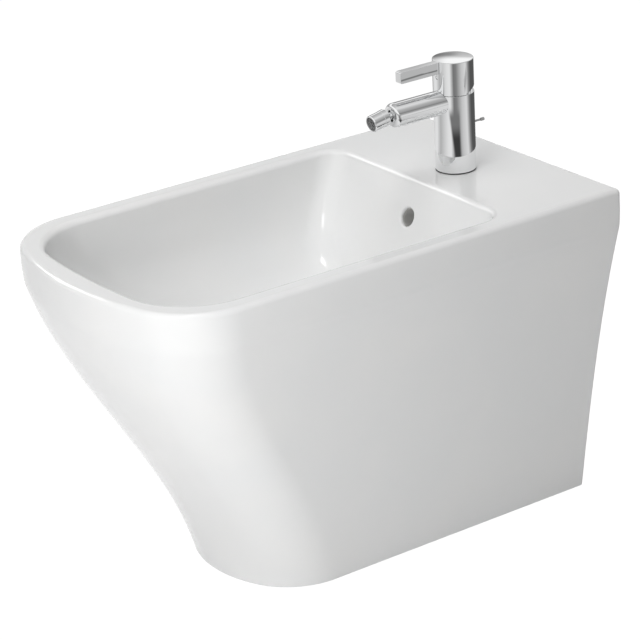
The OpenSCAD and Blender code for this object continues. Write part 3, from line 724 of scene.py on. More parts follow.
def open_overflow(bm):
    lip = OVERFLOW_R + OVERFLOW_ROLL
    near = [v for v in bm.verts if (v.co - overflow_at).length < lip + 3]
    patch = {f for v in near for f in v.link_faces if f.normal.dot(into_bowl) > 0.9}
    inner_edges = {e for f in patch for e in f.edges if all(g in patch for g in e.link_faces)}
    border = {e for f in patch for e in f.edges} - inner_edges
    bmesh.ops.delete(bm, geom=list(patch), context="FACES_ONLY")
    bmesh.ops.delete(bm, geom=list(inner_edges), context="EDGES")
    bmesh.ops.delete(bm, geom=[v for v in bm.verts if not v.link_edges], context="VERTS")
    rings = [circle_of(bm, lip - OVERFLOW_ROLL * math.sin(a), OVERFLOW_ROLL * (1 - math.cos(a)))
             for a in [0] + quarter]
    rings += [circle_of(bm, OVERFLOW_R, depth) for depth in (4, 12, OVERFLOW_DEPTH)]
    for ring, following in zip(rings, rings[1:]):
        for k in range(OVERFLOW_SIDES):
            m = (k + 1) % OVERFLOW_SIDES
            face = bm.faces.new([ring[k], ring[m], following[m], following[k]])
            face.material_index = 2 if following in rings[-2:] else 0
    bm.faces.new(rings[-1]).material_index = 2
    hole = {bm.edges.get((a, b)) for a, b in zip(rings[0], rings[0][1:] + rings[0][:1])}
    filled = bmesh.ops.triangle_fill(bm, edges=list(border | hole), use_beauty=True, normal=into_bowl)
    bmesh.ops.recalc_face_normals(bm, faces=bm.faces)
    return len(filled["geom"])


print("patch pieces:", open_overflow(body_mesh))
print("open edges:", sum(1 for e in body_mesh.edges if len(e.link_faces) != 2))

# %% [markdown]
# Behind the bowl the deck is hollow, so that a wrench reaches the mixer's nut, and the back of the pedestal
# is open for the pipes. These are plain cuts with the exact Boolean. The thick rib that carries the
# overflow channel and the two lugs for the floor brackets are joined on in the same way.

# %% Hollows, rib and lugs
DECK_THICKNESS = 14
CAVITY_HALF = 150
BEHIND_BOWL = 14.5
ACCESS_HALF, ACCESS_HEIGHT, ACCESS_CORNER = 88, 300, 30
RIB_HALF = 14
LUG_R, LUG_X, LUG_HOLE_R, LUG_HOLE_X = 12, 104.5, 4.1, 102.5
LUG_Y, LUG_HEIGHT = 180, 45
TAP_HOLE_R = 18
MIXER_Y = WALL_Y - 93.5
ACROSS = Matrix.Rotation(math.pi / 2, 4, "Y")


def moved(x, y, z):
    return Matrix.Translation((x, y, z))


def tool(name, bm, finish=1):
    for face in bm.faces:
        face.material_index = finish
    return as_object(name, bm)


def rod(radius, low, high, place=Matrix(), segments=64):
    return turned([(0, low), (radius, low), (radius, high), (0, high)], place, segments)


def rear_opening():
    arcs = [[(math.cos(a), math.sin(a)) for a in (math.radians(d) for d in range(start, start + 91, 15))]
            for start in (0, 90)]
    reach, height = ACCESS_HALF - ACCESS_CORNER, ACCESS_HEIGHT - ACCESS_CORNER
    arch = [(reach + ACCESS_CORNER * c, height + ACCESS_CORNER * s) for c, s in arcs[0]]
    arch += [(-reach + ACCESS_CORNER * c, height + ACCESS_CORNER * s) for c, s in arcs[1]]
    arch = [(ACCESS_HALF, -1)] + arch + [(-ACCESS_HALF, -1)]
    return extruded(arch, WALL_Y - PEDESTAL_WALL - 2, WALL_Y + 5, Matrix.Rotation(math.pi / 2, 4, "Z")
                    @ Matrix.Scale(-1, 4, (0, 1, 0)))


top, low = RIM_HEIGHT - DECK_THICKNESS, fold_z - 9
cavity = [(back_wall_y(top) + BEHIND_BOWL, top), (WALL_Y - PEDESTAL_WALL, top),
          (WALL_Y - PEDESTAL_WALL, low), (back_wall_y(low) + BEHIND_BOWL, low)]
rib_top, rib_low = RIM_HEIGHT - 10, FLOOR_HEIGHT - 29
rib = [(back_wall_y(rib_top) + 6, rib_top), (back_wall_y(rib_top) + 34, rib_top),
       (back_wall_y(rib_low) + 34, rib_low), (DRAIN_Y + 19, rib_low - 4), (DRAIN_Y + 25, FLOOR_HEIGHT - 9),
       (back_wall_y(FLOOR_HEIGHT - 3) + 6, FLOOR_HEIGHT - 3)]
ceramic = as_object("glazed_body", body_mesh)
for finish in (glaze, clay, channel):
    ceramic.data.materials.append(finish)
rear = rear_opening()
bmesh.ops.recalc_face_normals(rear, faces=rear.faces)
carve(ceramic, [tool("cavity", extruded(cavity, -CAVITY_HALF, CAVITY_HALF)), tool("rear", rear)])
lugs = [tool("lug", rod(LUG_R, -8, 8, moved(side * LUG_X, LUG_Y, LUG_HEIGHT) @ ACROSS)) for side in (-1, 1)]
carve(ceramic, lugs + [tool("rib", extruded(rib, -RIB_HALF, RIB_HALF))], "UNION")
lug_holes = [tool("lug_hole", rod(LUG_HOLE_R, -7, 7, moved(side * LUG_HOLE_X, LUG_Y, LUG_HEIGHT) @ ACROSS))
             for side in (-1, 1)]
tap_hole = tool("tap_hole", rod(TAP_HOLE_R, RIM_HEIGHT - 20, RIM_HEIGHT + 5, moved(0, MIXER_Y, 0)))
facing_bowl = into_bowl.to_track_quat("Z", "Y").to_matrix().to_4x4()
at_overflow = moved(*overflow_at) @ facing_bowl
channel_end = tool("channel_end", rod(OVERFLOW_R - 0.3, -OVERFLOW_DEPTH, -5, at_overflow), 2)
carve(ceramic, lug_holes + [tap_hole, channel_end])
crisp(ceramic, 40)
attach(ceramic, "root")
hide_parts("ceramic_body")
print("ceramic faces:", len(ceramic.data.polygons))

# %% [markdown]
# ## The mixer
#
# The mixer's body is a turned cylinder with a second, lying cylinder let into it as the spout. Both are
# profiles spun on their own axis and then joined. The spout's top is a little higher than the body's, so
# its root is hollowed for the round handle. The body's back has a slot for the pull pin.

# %% Mixer body and spout
MIXER_R = 24
BODY_TOP = 95
BASE_GAP = 1.5
CAP_GAP = 0.35
SPOUT_R, SPOUT_LENGTH, SPOUT_HEIGHT, SPOUT_EDGE = 14.5, 92.5, 85.2, 5.5
PIN_HEIGHT, ROD_TRAVEL, ROD_Y = 51, 30, 15.6
SLOT_HALF = 1.6
UNDER_R, UNDER_TOP = 19.5, 19.5
NUT_R, NUT_LOW, CARTRIDGE_R, CARTRIDGE_LOW = 16, 89, 12.6, 63
STEM_BORE, STEM_DEPTH = 6.6, 12.5
FORWARDS = Matrix.Rotation(math.pi / 2, 4, "X")
BACKWARDS = Matrix.Rotation(-math.pi / 2, 4, "X")
at_mixer = moved(0, MIXER_Y, RIM_HEIGHT)
at_spout = at_mixer @ moved(0, 0, SPOUT_HEIGHT) @ FORWARDS
body_profile = [(0, UNDER_TOP), (UNDER_R, UNDER_TOP), (UNDER_R, BASE_GAP), (MIXER_R, BASE_GAP, 0.35),
                (MIXER_R, BODY_TOP, 0.35), (NUT_R, BODY_TOP, 0.3), (NUT_R, NUT_LOW), (CARTRIDGE_R, NUT_LOW),
                (CARTRIDGE_R, CARTRIDGE_LOW), (0, CARTRIDGE_LOW)]
spout_profile = [(0, 17), (SPOUT_R, 17), (SPOUT_R, SPOUT_LENGTH, SPOUT_EDGE), (STEM_BORE, SPOUT_LENGTH, 0.4),
                 (STEM_BORE, SPOUT_LENGTH - STEM_DEPTH), (0, SPOUT_LENGTH - STEM_DEPTH)]
mixer = as_object("mixer_upright", turned(body_profile, at_mixer, 144))
carve(mixer, [as_object("spout", turned(spout_profile, at_spout, 144, 8))], "UNION")
slot_box = [(ROD_Y, PIN_HEIGHT), (MIXER_R + 3, PIN_HEIGHT), (MIXER_R + 3, PIN_HEIGHT + ROD_TRAVEL),
            (ROD_Y, PIN_HEIGHT + ROD_TRAVEL)]
slot_tools = [as_object("slot", extruded(slot_box, -SLOT_HALF, SLOT_HALF, at_mixer))]
for z in (PIN_HEIGHT, PIN_HEIGHT + ROD_TRAVEL):
    slot_tools.append(as_object("slot_end", rod(SLOT_HALF, ROD_Y, MIXER_R + 3,
                                                at_mixer @ moved(0, 0, z) @ BACKWARDS, 32)))
slot_tools.append(as_object("cap_room", rod(MIXER_R + CAP_GAP, BODY_TOP, 110, at_mixer, 144)))
carve(mixer, slot_tools)
crisp(mixer, 32)
mixer_axis = at_mixer.translation, Vector((0, 0, 1)), MIXER_R
spout_axis = at_spout.translation, Vector((0, -1, 0)), SPOUT_R
true_round(mixer, [mixer_axis, spout_axis])
finished(mixer, chrome, "root", "mixer_body")
print("mixer body faces:", len(mixer.data.polygons))

# %% [markdown]
# A rubber ring seals the mixer to the deck. It shows as a thin dark line. Above the body, part of a ball
# fills the gap behind the tilting handle.

# %% Base ring and ball under the handle
PIVOT_HEIGHT = 97
BALL_R = 21
BALL_TOP = 12
FIT = 0.1
ring_out, ring_in, ball_in = MIXER_R - FIT, UNDER_R + FIT, NUT_R + FIT
ring_profile = [(ring_in, 0), (ring_out, 0, 0.3), (ring_out, BASE_GAP, 0.3), (ring_in, BASE_GAP)]
base_ring = as_object("base_ring", turned(ring_profile, at_mixer))
finished(crisp(base_ring), rubber, "root", "mixer_base_gasket")
top_angle = math.asin(BALL_TOP / BALL_R)
ball_arc = [(BALL_R * math.cos(a), PIVOT_HEIGHT + BALL_R * math.sin(a))
            for a in spread(0, top_angle, 12) + [top_angle]]
ball_profile = [(ball_in, BODY_TOP), (BALL_R, BODY_TOP)] + ball_arc + [(ball_in, PIVOT_HEIGHT + BALL_TOP)]
ball_ring = as_object("ball_ring", turned(ball_profile, at_mixer))
finished(crisp(ball_ring), chrome, "root", "dome_ring")
print("ring and ball:", len(base_ring.data.polygons), len(ball_ring.data.polygons), "faces")

# %% [markdown]
# The handle is a cap with a faintly domed top. A flat mirror would show one even tone, while the dome bends
# the reflection enough to give the soft change of tone that such a cap has. Its skirt is cut away behind
# the pivot, which is what lets it lean back.

# %% Handle cap
CAP_LOW, CAP_TOP, CAP_EDGE_TOP = 95.4, 136, 135.2
CAP_BORE, CAP_ROOM_TOP = 21.8, 130
SPINDLE_R, SPINDLE_TOP = 6, 112
LIFT = math.radians(18)
INDEX_HEIGHT, INDEX_R, INDEX_HOLE_R = 116, 2.25, 2.4
dome_r = (MIXER_R ** 2 + (CAP_TOP - CAP_EDGE_TOP) ** 2) / (2 * (CAP_TOP - CAP_EDGE_TOP))
dome = [(r, CAP_TOP - dome_r + math.sqrt(dome_r ** 2 - r ** 2)) for r in spread(21, 0, 10)]
cap_profile = [(CAP_BORE, CAP_LOW), (MIXER_R, CAP_LOW, 0.3), (MIXER_R, CAP_EDGE_TOP, 0.8)]
cap_profile += dome + [(0, CAP_TOP), (0, SPINDLE_TOP), (SPINDLE_R, SPINDLE_TOP, 0.3),
                       (SPINDLE_R, CAP_ROOM_TOP, 1), (CAP_BORE, CAP_ROOM_TOP, 1)]
cap = as_object("handle_cap_shell", turned(cap_profile, at_mixer, 144))
lean_cut = extruded([(0, -20), (40, -20), (40, 0), (0, 0)], -30, 30,
                    at_mixer @ moved(0, 0, PIVOT_HEIGHT) @ Matrix.Rotation(LIFT, 4, "X"))
at_index = at_mixer @ moved(0, 0, INDEX_HEIGHT) @ FORWARDS
index_hole = rod(INDEX_HOLE_R, 19, 30, at_index, 32)
carve(cap, [as_object("lean_cut", lean_cut), as_object("index_hole", index_hole)])
crisp(cap, 32)
true_round(cap, [(at_mixer.translation, Vector((0, 0, 1)), MIXER_R)])
finished(cap, chrome, "handle", "handle_cap")
index_profile = [(0, 21.6), (INDEX_R, 21.6), (INDEX_R, 23.5, 0.5), (0, 23.5)]
index = as_object("index_dot", turned(index_profile, at_index, 32))
finished(crisp(index), chrome, "handle", "index_plug")
print("cap faces:", len(cap.data.polygons))

# %% [markdown]
# The lever is a flat bar on edge. Its side outline is extruded and every edge gets a half millimetre bevel,
# which is what polishing leaves on such a bar.

# %% Lever
LEVER_HALF, LEVER_LOW, LEVER_HIGH = 5, 121.3, 135.2
LEVER_LENGTH = 79.5
LEVER_END_R = 2.2
LEVER_BEVEL = 0.45


def bar_outline():
    ends = [(LEVER_LOW + LEVER_END_R, 180), (LEVER_HIGH - LEVER_END_R, 90)]
    points = [(-MIXER_R + 1.2, LEVER_HIGH), (-MIXER_R + 1.2, LEVER_LOW)]
    for z, start in ends:
        arc = [math.radians(start + 90 - 18 * k) for k in range(6)]
        points += [(-LEVER_LENGTH + LEVER_END_R + LEVER_END_R * math.cos(a), z + LEVER_END_R * math.sin(a))
                   for a in arc]
    return points


bar = extruded(bar_outline(), -LEVER_HALF, LEVER_HALF, at_mixer)
side_edges = [e for e in bar.edges if e.calc_face_angle(0) > math.radians(60)]
bmesh.ops.bevel(bar, geom=side_edges, offset=LEVER_BEVEL, segments=4, profile=0.5, affect="EDGES")
lever = as_object("lever", bar)
finished(crisp(lever, 60), chrome, "handle", "lever_bar")
print("lever faces:", len(lever.data.polygons))

# %% [markdown]
# ## The spray nozzle
#
# A short tube with a perforated insert sits on a ball at the end of the spout, and the ball is what lets the
# spray be aimed. The ball's neck has a thin collar.

# %% Ball and barrel
BALL_Y = -SPOUT_LENGTH - 9.5
TILT = math.radians(10)
at_ball = at_mixer @ moved(0, BALL_Y, SPOUT_HEIGHT) @ FORWARDS
at_nozzle = at_mixer @ moved(0, BALL_Y, SPOUT_HEIGHT) @ Matrix.Rotation(math.pi / 2 + TILT, 4, "X")
STUD_BALL_R = 7.2
BORE_R, NECK_R, STEM_R, COLLAR_R = 3.0, 4.5, 6.5, 8.2
arc_start, arc_end = -math.acos(NECK_R / STUD_BALL_R), math.acos(BORE_R / STUD_BALL_R)
stud_arc = [(STUD_BALL_R * math.cos(a), STUD_BALL_R * math.sin(a))
            for a in spread(arc_start, arc_end, 20) + [arc_end]]
stud_profile = [(BORE_R, -22), (STEM_R, -22), (STEM_R, -9.4), (COLLAR_R, -9.4, 0.3), (COLLAR_R, -8.2, 0.3),
                (NECK_R, -8.2, 0.2)]
stud = as_object("ball_and_neck", turned(stud_profile + stud_arc, at_ball, 96))
finished(crisp(stud), chrome, "root", "ball_stud")
SOCKET_R = 8.9
low_angle, high_angle = math.asin(-4.5 / SOCKET_R), math.acos(4 / SOCKET_R)
socket_arc = [(SOCKET_R * math.cos(a), SOCKET_R * math.sin(a))
              for a in spread(low_angle, high_angle, 16) + [high_angle]]
MOUTH_R, BARREL_R, GRIP_BAND_R = 8.1, 9.9, 10.3
barrel_profile = [(4, 10), (MOUTH_R, 10), (MOUTH_R, 18.5, 0.25), (9.2, 18.5, 0.3), (BARREL_R, 17.5, 0.3),
                  (BARREL_R, 4, 0.15), (GRIP_BAND_R, 4, 0.25), (GRIP_BAND_R, -2, 0.4), (8.4, -4.5, 0.2)]
barrel = as_object("nozzle_barrel", turned(barrel_profile + socket_arc, at_nozzle, 96))
finished(crisp(barrel, 28), chrome, "nozzle", "aerator_barrel")
print("stud and barrel:", len(stud.data.polygons), len(barrel.data.polygons), "faces")

# %% [markdown]
# The insert in the nozzle is a disc with a ring of small holes. The holes repeat by a rule, so Geometry
# Nodes place them: a tree with named inputs sets a rod on each point of a circle and one in the middle, and
# the rods are then cut out of the disc. The same tree makes the grip ribs on the trap's nuts, with other
# numbers and without the rod in the middle.

# %% A tree that repeats a rod round an axis
class Shapes:
    """A Geometry Nodes tree with named inputs."""

    def __init__(self, name, inputs):
        self.tree = bpy.data.node_groups.new(name, "GeometryNodeTree")
        self.tree.is_modifier = True
        face = self.tree.interface
        face.new_socket("Geometry", in_out="INPUT", socket_type="NodeSocketGeometry")
        for label, kind in inputs.items():
            face.new_socket(label, in_out="INPUT", socket_type="NodeSocket" + kind)
        face.new_socket("Geometry", in_out="OUTPUT", socket_type="NodeSocketGeometry")
        self.given = self.tree.nodes.new("NodeGroupInput").outputs

    def node(self, kind, settings=None, sockets=None, output=0):
        """Adds a node with its settings and sockets, and returns one of its outputs."""
        node = self.tree.nodes.new(kind)
        for name, value in (settings or {}).items():
            setattr(node, name, value)
        for name, value in (sockets or {}).items():
            if isinstance(value, bpy.types.NodeSocket):
                self.tree.links.new(value, node.inputs[name])
            else:
                node.inputs[name].default_value = value
        return node.outputs[output]

    def maths(self, operation, first, second):
        return self.node("ShaderNodeMath", {"operation": operation}, {0: first, 1: second})

    def upwards(self, z):
        """The vector that leads up by z."""
        return self.node("ShaderNodeCombineXYZ", None, {"Z": z})

    def end(self, geometry):
        """Every tree ends in Realize Instances and Set Material."""
        real = self.node("GeometryNodeRealizeInstances", None, {"Geometry": geometry})
        dressed = self.node("GeometryNodeSetMaterial", None,
                            {"Geometry": real, "Material": self.given["Finish"]})
        out = self.tree.nodes.new("NodeGroupOutput")
        self.tree.links.new(dressed, out.inputs["Geometry"])
        return self.tree


def grown(name, tree, place=Matrix(), path=(), **values):
    """Runs a tree with these inputs, in millimetres, and returns the result as a plain object in place."""
    line = bpy.data.meshes.new(name)
    line.from_pydata(path, [(k, k + 1) for k in range(len(path) - 1)], [])
    holder = bpy.data.objects.new(name, line)
    bpy.context.scene.collection.objects.link(holder)
    step = holder.modifiers.new("shape", "NODES")
    step.node_group = tree
    for item in tree.interface.items_tree:
        label = item.name.replace(" ", "_")
        if item.in_out == "INPUT" and label in values:
            step[item.identifier] = values[label]
    settle(holder)
    holder.data.transform(Matrix.Scale(MM, 4) @ place)
    return holder


def rods_tree():
    """Rods along Z: Count of them on a circle, from Low to High. Middle, 0 or 1, adds one on the axis."""
    shapes = Shapes("rods_on_circle", {"Count": "Int", "Circle": "Float", "Radius": "Float", "Low": "Float",
                                       "High": "Float", "Sides": "Int", "Middle": "Int",
                                       "Finish": "Material"})
    given = shapes.given
    depth = shapes.maths("SUBTRACT", given["High"], given["Low"])
    centre = shapes.maths("MULTIPLY", shapes.maths("ADD", given["High"], given["Low"]), 0.5)
    rod_mesh = shapes.node("GeometryNodeMeshCylinder", None,
                           {"Vertices": given["Sides"], "Radius": given["Radius"], "Depth": depth})
    raised = shapes.node("GeometryNodeTransform", None,
                         {"Geometry": rod_mesh, "Translation": shapes.upwards(centre)})
    circle = shapes.node("GeometryNodeMeshCircle", None,
                         {"Vertices": given["Count"], "Radius": given["Circle"]})
    axis = shapes.node("GeometryNodePoints", None, {"Count": given["Middle"], "Radius": 1.0})
    spots = shapes.tree.nodes.new("GeometryNodeJoinGeometry")
    shapes.tree.links.new(circle, spots.inputs[0])
    shapes.tree.links.new(axis, spots.inputs[0])
    placed = shapes.node("GeometryNodeInstanceOnPoints", None,
                         {"Points": spots.outputs[0], "Instance": raised})
    return shapes.end(placed)


rods_on_circle = rods_tree()
print("tree:", rods_on_circle.name, "inputs:", len(rods_on_circle.interface.items_tree) - 1)

# %% Nozzle insert
insert_profile = [(0, 10.1), (8, 10.1), (8, 15.7, 0.4), (6.6, 15.7, 0.3), (6.2, 15, 0.3), (0, 15)]
insert = as_object("nozzle_insert", turned(insert_profile, at_nozzle, 64))
holes = grown("holes", rods_on_circle, at_nozzle, Count=6, Circle=4.4, Radius=1.4, Low=9.0, High=17.0,
              Sides=24, Middle=1, Finish=acetal)
# The insert gets the dark grey acetal: painted shade in the nozzle's mouth.
finished(crisp(carve(insert, [holes])), grey_acetal, "nozzle", "aerator_insert")
print("insert faces:", len(insert.data.polygons))

# %% [markdown]
# ## Pull pin
#
# The pop-up rod comes up through the deck behind the cartridge. A thin pin leads out of the slot in the
# mixer's back to a small knob. Rod and pin are one bent bar, so the corner is a ball.

# %% Rod, pin and knob
ROD_R, PIN_R, PIN_LENGTH = 1.8, 1.25, 25.8
CLEVIS_HEIGHT = 160
rod_foot = CLEVIS_HEIGHT + 13 - RIM_HEIGHT
at_rod = at_mixer @ moved(0, ROD_Y, 0)
upright_profile = [(0, rod_foot), (ROD_R, rod_foot, 0.3)]
upright_profile += [(ROD_R * math.cos(a), PIN_HEIGHT + ROD_R * math.sin(a))
                    for a in spread(0, math.pi / 2, 8)]
pull_rod = as_object("pull_rod", turned(upright_profile + [(0, PIN_HEIGHT + ROD_R)], at_rod, 32))
at_pin = at_rod @ moved(0, 0, PIN_HEIGHT) @ BACKWARDS
pin_profile = [(0, 0), (PIN_R, 0), (PIN_R, PIN_LENGTH, 0.2), (0, PIN_LENGTH)]
pin = as_object("pin", turned(pin_profile, at_pin, 32))
# Rod, pin and knob get the darkened chrome: painted shade.
finished(crisp(carve(pull_rod, [pin], "UNION")), smoked_chrome, "pull_rod", "lift_rod")
at_knob = at_mixer @ moved(0, 0, PIN_HEIGHT) @ BACKWARDS
knob_bore = PIN_R + 0.05
knob_profile = [(knob_bore, 38), (1.7, 38, 0.2), (1.7, 39, 0.15), (2, 39.3, 0.2), (2, 43.5, 0.5), (0, 43.5),
                (0, 42.6), (knob_bore, 42.6)]
knob = as_object("pull_knob", turned(knob_profile, at_knob, 32))
finished(crisp(knob), smoked_chrome, "pull_rod", "lift_knob")
print("rod and knob:", len(pull_rod.data.polygons), len(knob.data.polygons), "faces")

# %% [markdown]
# ## Waste and plug
#
# The waste's chrome flange lies in the recess at the bottom of the bowl. Slots in its tail let the overflow
# in. The pop-up plug is a turned disc with a rounded edge on four guide vanes, and a rubber ring under it
# closes on the flange's cone.

# %% Flange with its slots
at_drain = moved(0, DRAIN_Y, FLOOR_HEIGHT)
WASTE_R, WASTE_BORE, WASTE_LOW, FLANGE_R = 20.5, 18, -60, 32
flange_profile = [(WASTE_BORE, WASTE_LOW, 0.3), (WASTE_R, WASTE_LOW, 0.3), (WASTE_R, -2.5),
                  (FLANGE_R, -2.5, 0.2), (FLANGE_R, -1.2, 0.6), (29.5, 0, 0.8), (WASTE_BORE + 1.4, 0, 0.5),
                  (WASTE_BORE, -2.4, 0.5)]
flange = as_object("waste_flange_ring", turned(flange_profile, at_drain, 96))
slots = extruded([(-30, -26), (30, -26), (30, -12), (-30, -12)], -7, 7, at_drain)
finished(crisp(carve(flange, [as_object("slots", slots)])), chrome, "root", "waste_flange")
print("flange faces:", len(flange.data.polygons))

# %% Plug, vanes and eye
LEVER_BALL_Y, LEVER_BALL_HEIGHT = DRAIN_Y + 28, 175
outer_arm = MIXER_Y + ROD_Y - LEVER_BALL_Y
arm_slope = ROD_TRAVEL / 2 / outer_arm
inner_rise = (LEVER_BALL_Y - DRAIN_Y) * arm_slope
PLUG_GAP = 0.37
SEAL_THICKNESS = 1.5
PLUG_R, VANE_HALF, EYE_R = 21, 16, 7
seal_low = 2 * inner_rise + PLUG_GAP
plug_low = seal_low + SEAL_THICKNESS
plug_top = plug_low + 3.3
eye_z = LEVER_BALL_HEIGHT + inner_rise - FLOOR_HEIGHT
plug_profile = [(0, plug_low), (PLUG_R, plug_low, 0.4), (PLUG_R, plug_low + 2, 0.8), (18, plug_top, 1.2),
                (14, plug_top - 0.35, 3), (0, plug_top - 0.35)]
plug = as_object("plug_disc", turned(plug_profile, at_drain, 96))
vane = [(-VANE_HALF, -8), (VANE_HALF, -8), (VANE_HALF, plug_low + 0.5), (-VANE_HALF, plug_low + 0.5)]
additions = [as_object("vane", extruded(vane, -1, 1, at_drain @ Matrix.Rotation(turn, 4, "Z")))
             for turn in (0, math.pi / 2)]
additions.append(as_object("stem", turned([(0, eye_z), (4, eye_z), (4, 7.9), (0, 7.9)], at_drain, 32)))
eye_profile = [(0, eye_z - 8), (EYE_R, eye_z - 8, 1), (EYE_R, eye_z + 8, 1), (0, eye_z + 8)]
additions.append(as_object("eye", turned(eye_profile, at_drain, 48)))
carve(plug, additions, "UNION")
eye_hole = rod(3.6, -10, 10, at_drain @ moved(0, 0, eye_z) @ BACKWARDS, 32)
finished(crisp(carve(plug, [as_object("eye_hole", eye_hole)])), chrome, "waste_plug", "plug")
seal_profile = [(16.8, seal_low, 0.3), (20.6, seal_low, 0.5), (20.6, plug_low), (16.8, plug_low)]
seal = as_object("plug_ring", turned(seal_profile, at_drain, 96))
finished(crisp(seal), rubber, "waste_plug", "plug_seal")
print("plug faces:", len(plug.data.polygons), "drop:", round(2 * inner_rise, 2), "mm")

# %% [markdown]
# ## Waste body, trap and nuts
#
# These hide in the pedestal and show only through the opening in its back. Every nut that is tightened by
# hand has grip ribs: rods from the tree above, half sunk in the nut, so that the nut stays as wide as its
# solid. The rest is turned.

# %% A turned piece with grip ribs
GRIP_R = 1.5


def gripped(name, corners, place, radius, low, high, count):
    """A turned piece with ribs along its axis from low to high, none of them wider than radius."""
    piece = as_object(name, turned(corners, place, 96))
    ribs = grown("ribs", rods_on_circle, place, Count=count, Circle=radius - GRIP_R, Radius=GRIP_R, Low=low,
                 High=high, Sides=12, Middle=0, Finish=dull_chrome)
    return crisp(carve(piece, [ribs], "UNION"))


WASTE_OPENING = 14
at_centre = moved(0, DRAIN_Y, 0)
TRAP_JOINT, TRAP_TOP, NECK_TOP, CUP_LOW, TUBE_END = 78, 126, 138, 34, 140
OUTLET_HEIGHT, OUTLET_R = 105, 16
at_outlet = moved(0, DRAIN_Y, OUTLET_HEIGHT) @ BACKWARDS
at_branch = moved(0, DRAIN_Y, LEVER_BALL_HEIGHT) @ BACKWARDS
cup_profile = [(0, CUP_LOW), (28, CUP_LOW, 3), (32, CUP_LOW + 5, 2), (32, TRAP_JOINT - 0.2, 0.6),
               (29.2, TRAP_JOINT - 0.2, 0.3), (29.2, TRAP_JOINT - 14), (27, TRAP_JOINT - 14),
               (27, CUP_LOW + 4, 2), (0, CUP_LOW + 4)]
inlet_profile = [(17.2, 150, 0.3), (17.2, NECK_TOP + 2.2), (19.6, NECK_TOP + 2.2), (19.6, 128, 0.3),
                 (20.8, 128, 0.5), (20.8, 146, 0.5), (19.4, 150, 0.8)]
outlet_profile = [(16.2, 51, 0.3), (16.2, 44.2), (20.1, 44.2), (20.1, 35, 0.3), (22.8, 35, 0.5),
                  (22.8, 47, 0.5), (20.4, 51, 0.8)]
ball_nut_profile = [(5.2, 38, 0.4), (5.2, 34), (11.1, 34), (11.1, 24, 0.3), (12.8, 24, 0.4), (12.8, 35, 0.4),
                    (10, 38, 0.8)]
nuts = {
    "trap_cup": gripped("trap_bottle_cup", cup_profile, at_centre, 33, 56, 76, 30),
    "trap_inlet_nut": gripped("trap_top_nut", inlet_profile, at_centre, 22, 130, 144, 24),
    "trap_outlet_nut": gripped("trap_side_nut", outlet_profile, at_outlet, 24, 37, 46, 24),
    "ball_nut": gripped("lever_ball_nut", ball_nut_profile, at_branch, 14, 25.5, 33.5, 18),
}
for node, nut in nuts.items():
    finished(nut, dull_chrome, "root", node)
print("gripped pieces:", len(nuts))

# %% Bottle trap, waste body and outlet pipe
NECK_OUTER, TRAP_R, THREAD_R, TRAP_BORE, TRAP_MOUTH = 19.4, 31, 29, 28, 26
trap_profile = [(TRAP_MOUTH, TRAP_JOINT - 12, 0.3), (THREAD_R, TRAP_JOINT - 12, 0.3), (THREAD_R, TRAP_JOINT),
                (TRAP_R, TRAP_JOINT, 0.3), (TRAP_R, TRAP_TOP, 3), (NECK_OUTER, TRAP_TOP, 0.8),
                (NECK_OUTER, NECK_TOP, 0.3), (WASTE_OPENING, NECK_TOP, 0.3), (WASTE_OPENING, TRAP_TOP - 4),
                (TRAP_BORE, TRAP_TOP - 4, 2), (TRAP_BORE, TRAP_JOINT - 5), (TRAP_MOUTH, TRAP_JOINT - 5)]
trap = as_object("trap_bottle", turned(trap_profile, at_centre, 96))
outlet_socket = rod(OUTLET_R + 4, 22, 44, at_outlet)
carve(trap, [as_object("socket", outlet_socket)], "UNION")
socket_bores = [as_object("bore", rod(14, 10, 50, at_outlet)),
                as_object("seat", rod(15.5, 33, 53, at_outlet))]
finished(crisp(carve(trap, socket_bores)), dull_chrome, "root", "trap_body")
tube_profile = [(WASTE_OPENING, TUBE_END, 0.3), (17, TUBE_END, 0.3), (17, 185, 0.8), (23, 185, 1.5),
                (23, 203, 0.5), (20.6, 203, 0.3), (20.6, 189), (WASTE_OPENING, 189)]
tail_piece = as_object("waste_tube", turned(tube_profile, at_centre, 96))
carve(tail_piece, [as_object("branch", rod(11, 15, 30, at_branch, 48))], "UNION")
carve(tail_piece, [as_object("branch_bore", rod(7.6, 5, 31, at_branch, 48))])
finished(crisp(tail_piece), dull_chrome, "root", "waste_body")
PIPE_HELD_R = OUTLET_R - 0.6
pipe_profile = [(14.2, 33.2, 0.2), (PIPE_HELD_R, 33.2, 0.3), (PIPE_HELD_R, 54), (OUTLET_R, 54, 0.2),
                (OUTLET_R, 248, 0.4), (14.2, 248, 0.4)]
pipe = as_object("outlet_tube", turned(pipe_profile, at_outlet, 96))
finished(crisp(pipe), dull_chrome, "root", "outlet_pipe")
print("trap, waste and pipe:", [len(o.data.polygons) for o in (trap, tail_piece, pipe)])

# %% [markdown]
# ## Supply tails and threaded stud
#
# Two copper tails lead down from the mixer and spread apart with two gentle bends each. A bent tube follows
# a path, so its tree takes only the path's corners, rounds them with the bending radius and sweeps a circle
# along the result. The stud's thread is a spiral curve swept with a three sided profile.

# %% Bent tube
TAIL_X, TAIL_R, TAIL_SPREAD = 7.5, 5, 45.27
BEND_R, BEND = 30, math.radians(35)
TAIL_TOP, TAIL_BEND, TAIL_END = 39.9, -55, -230


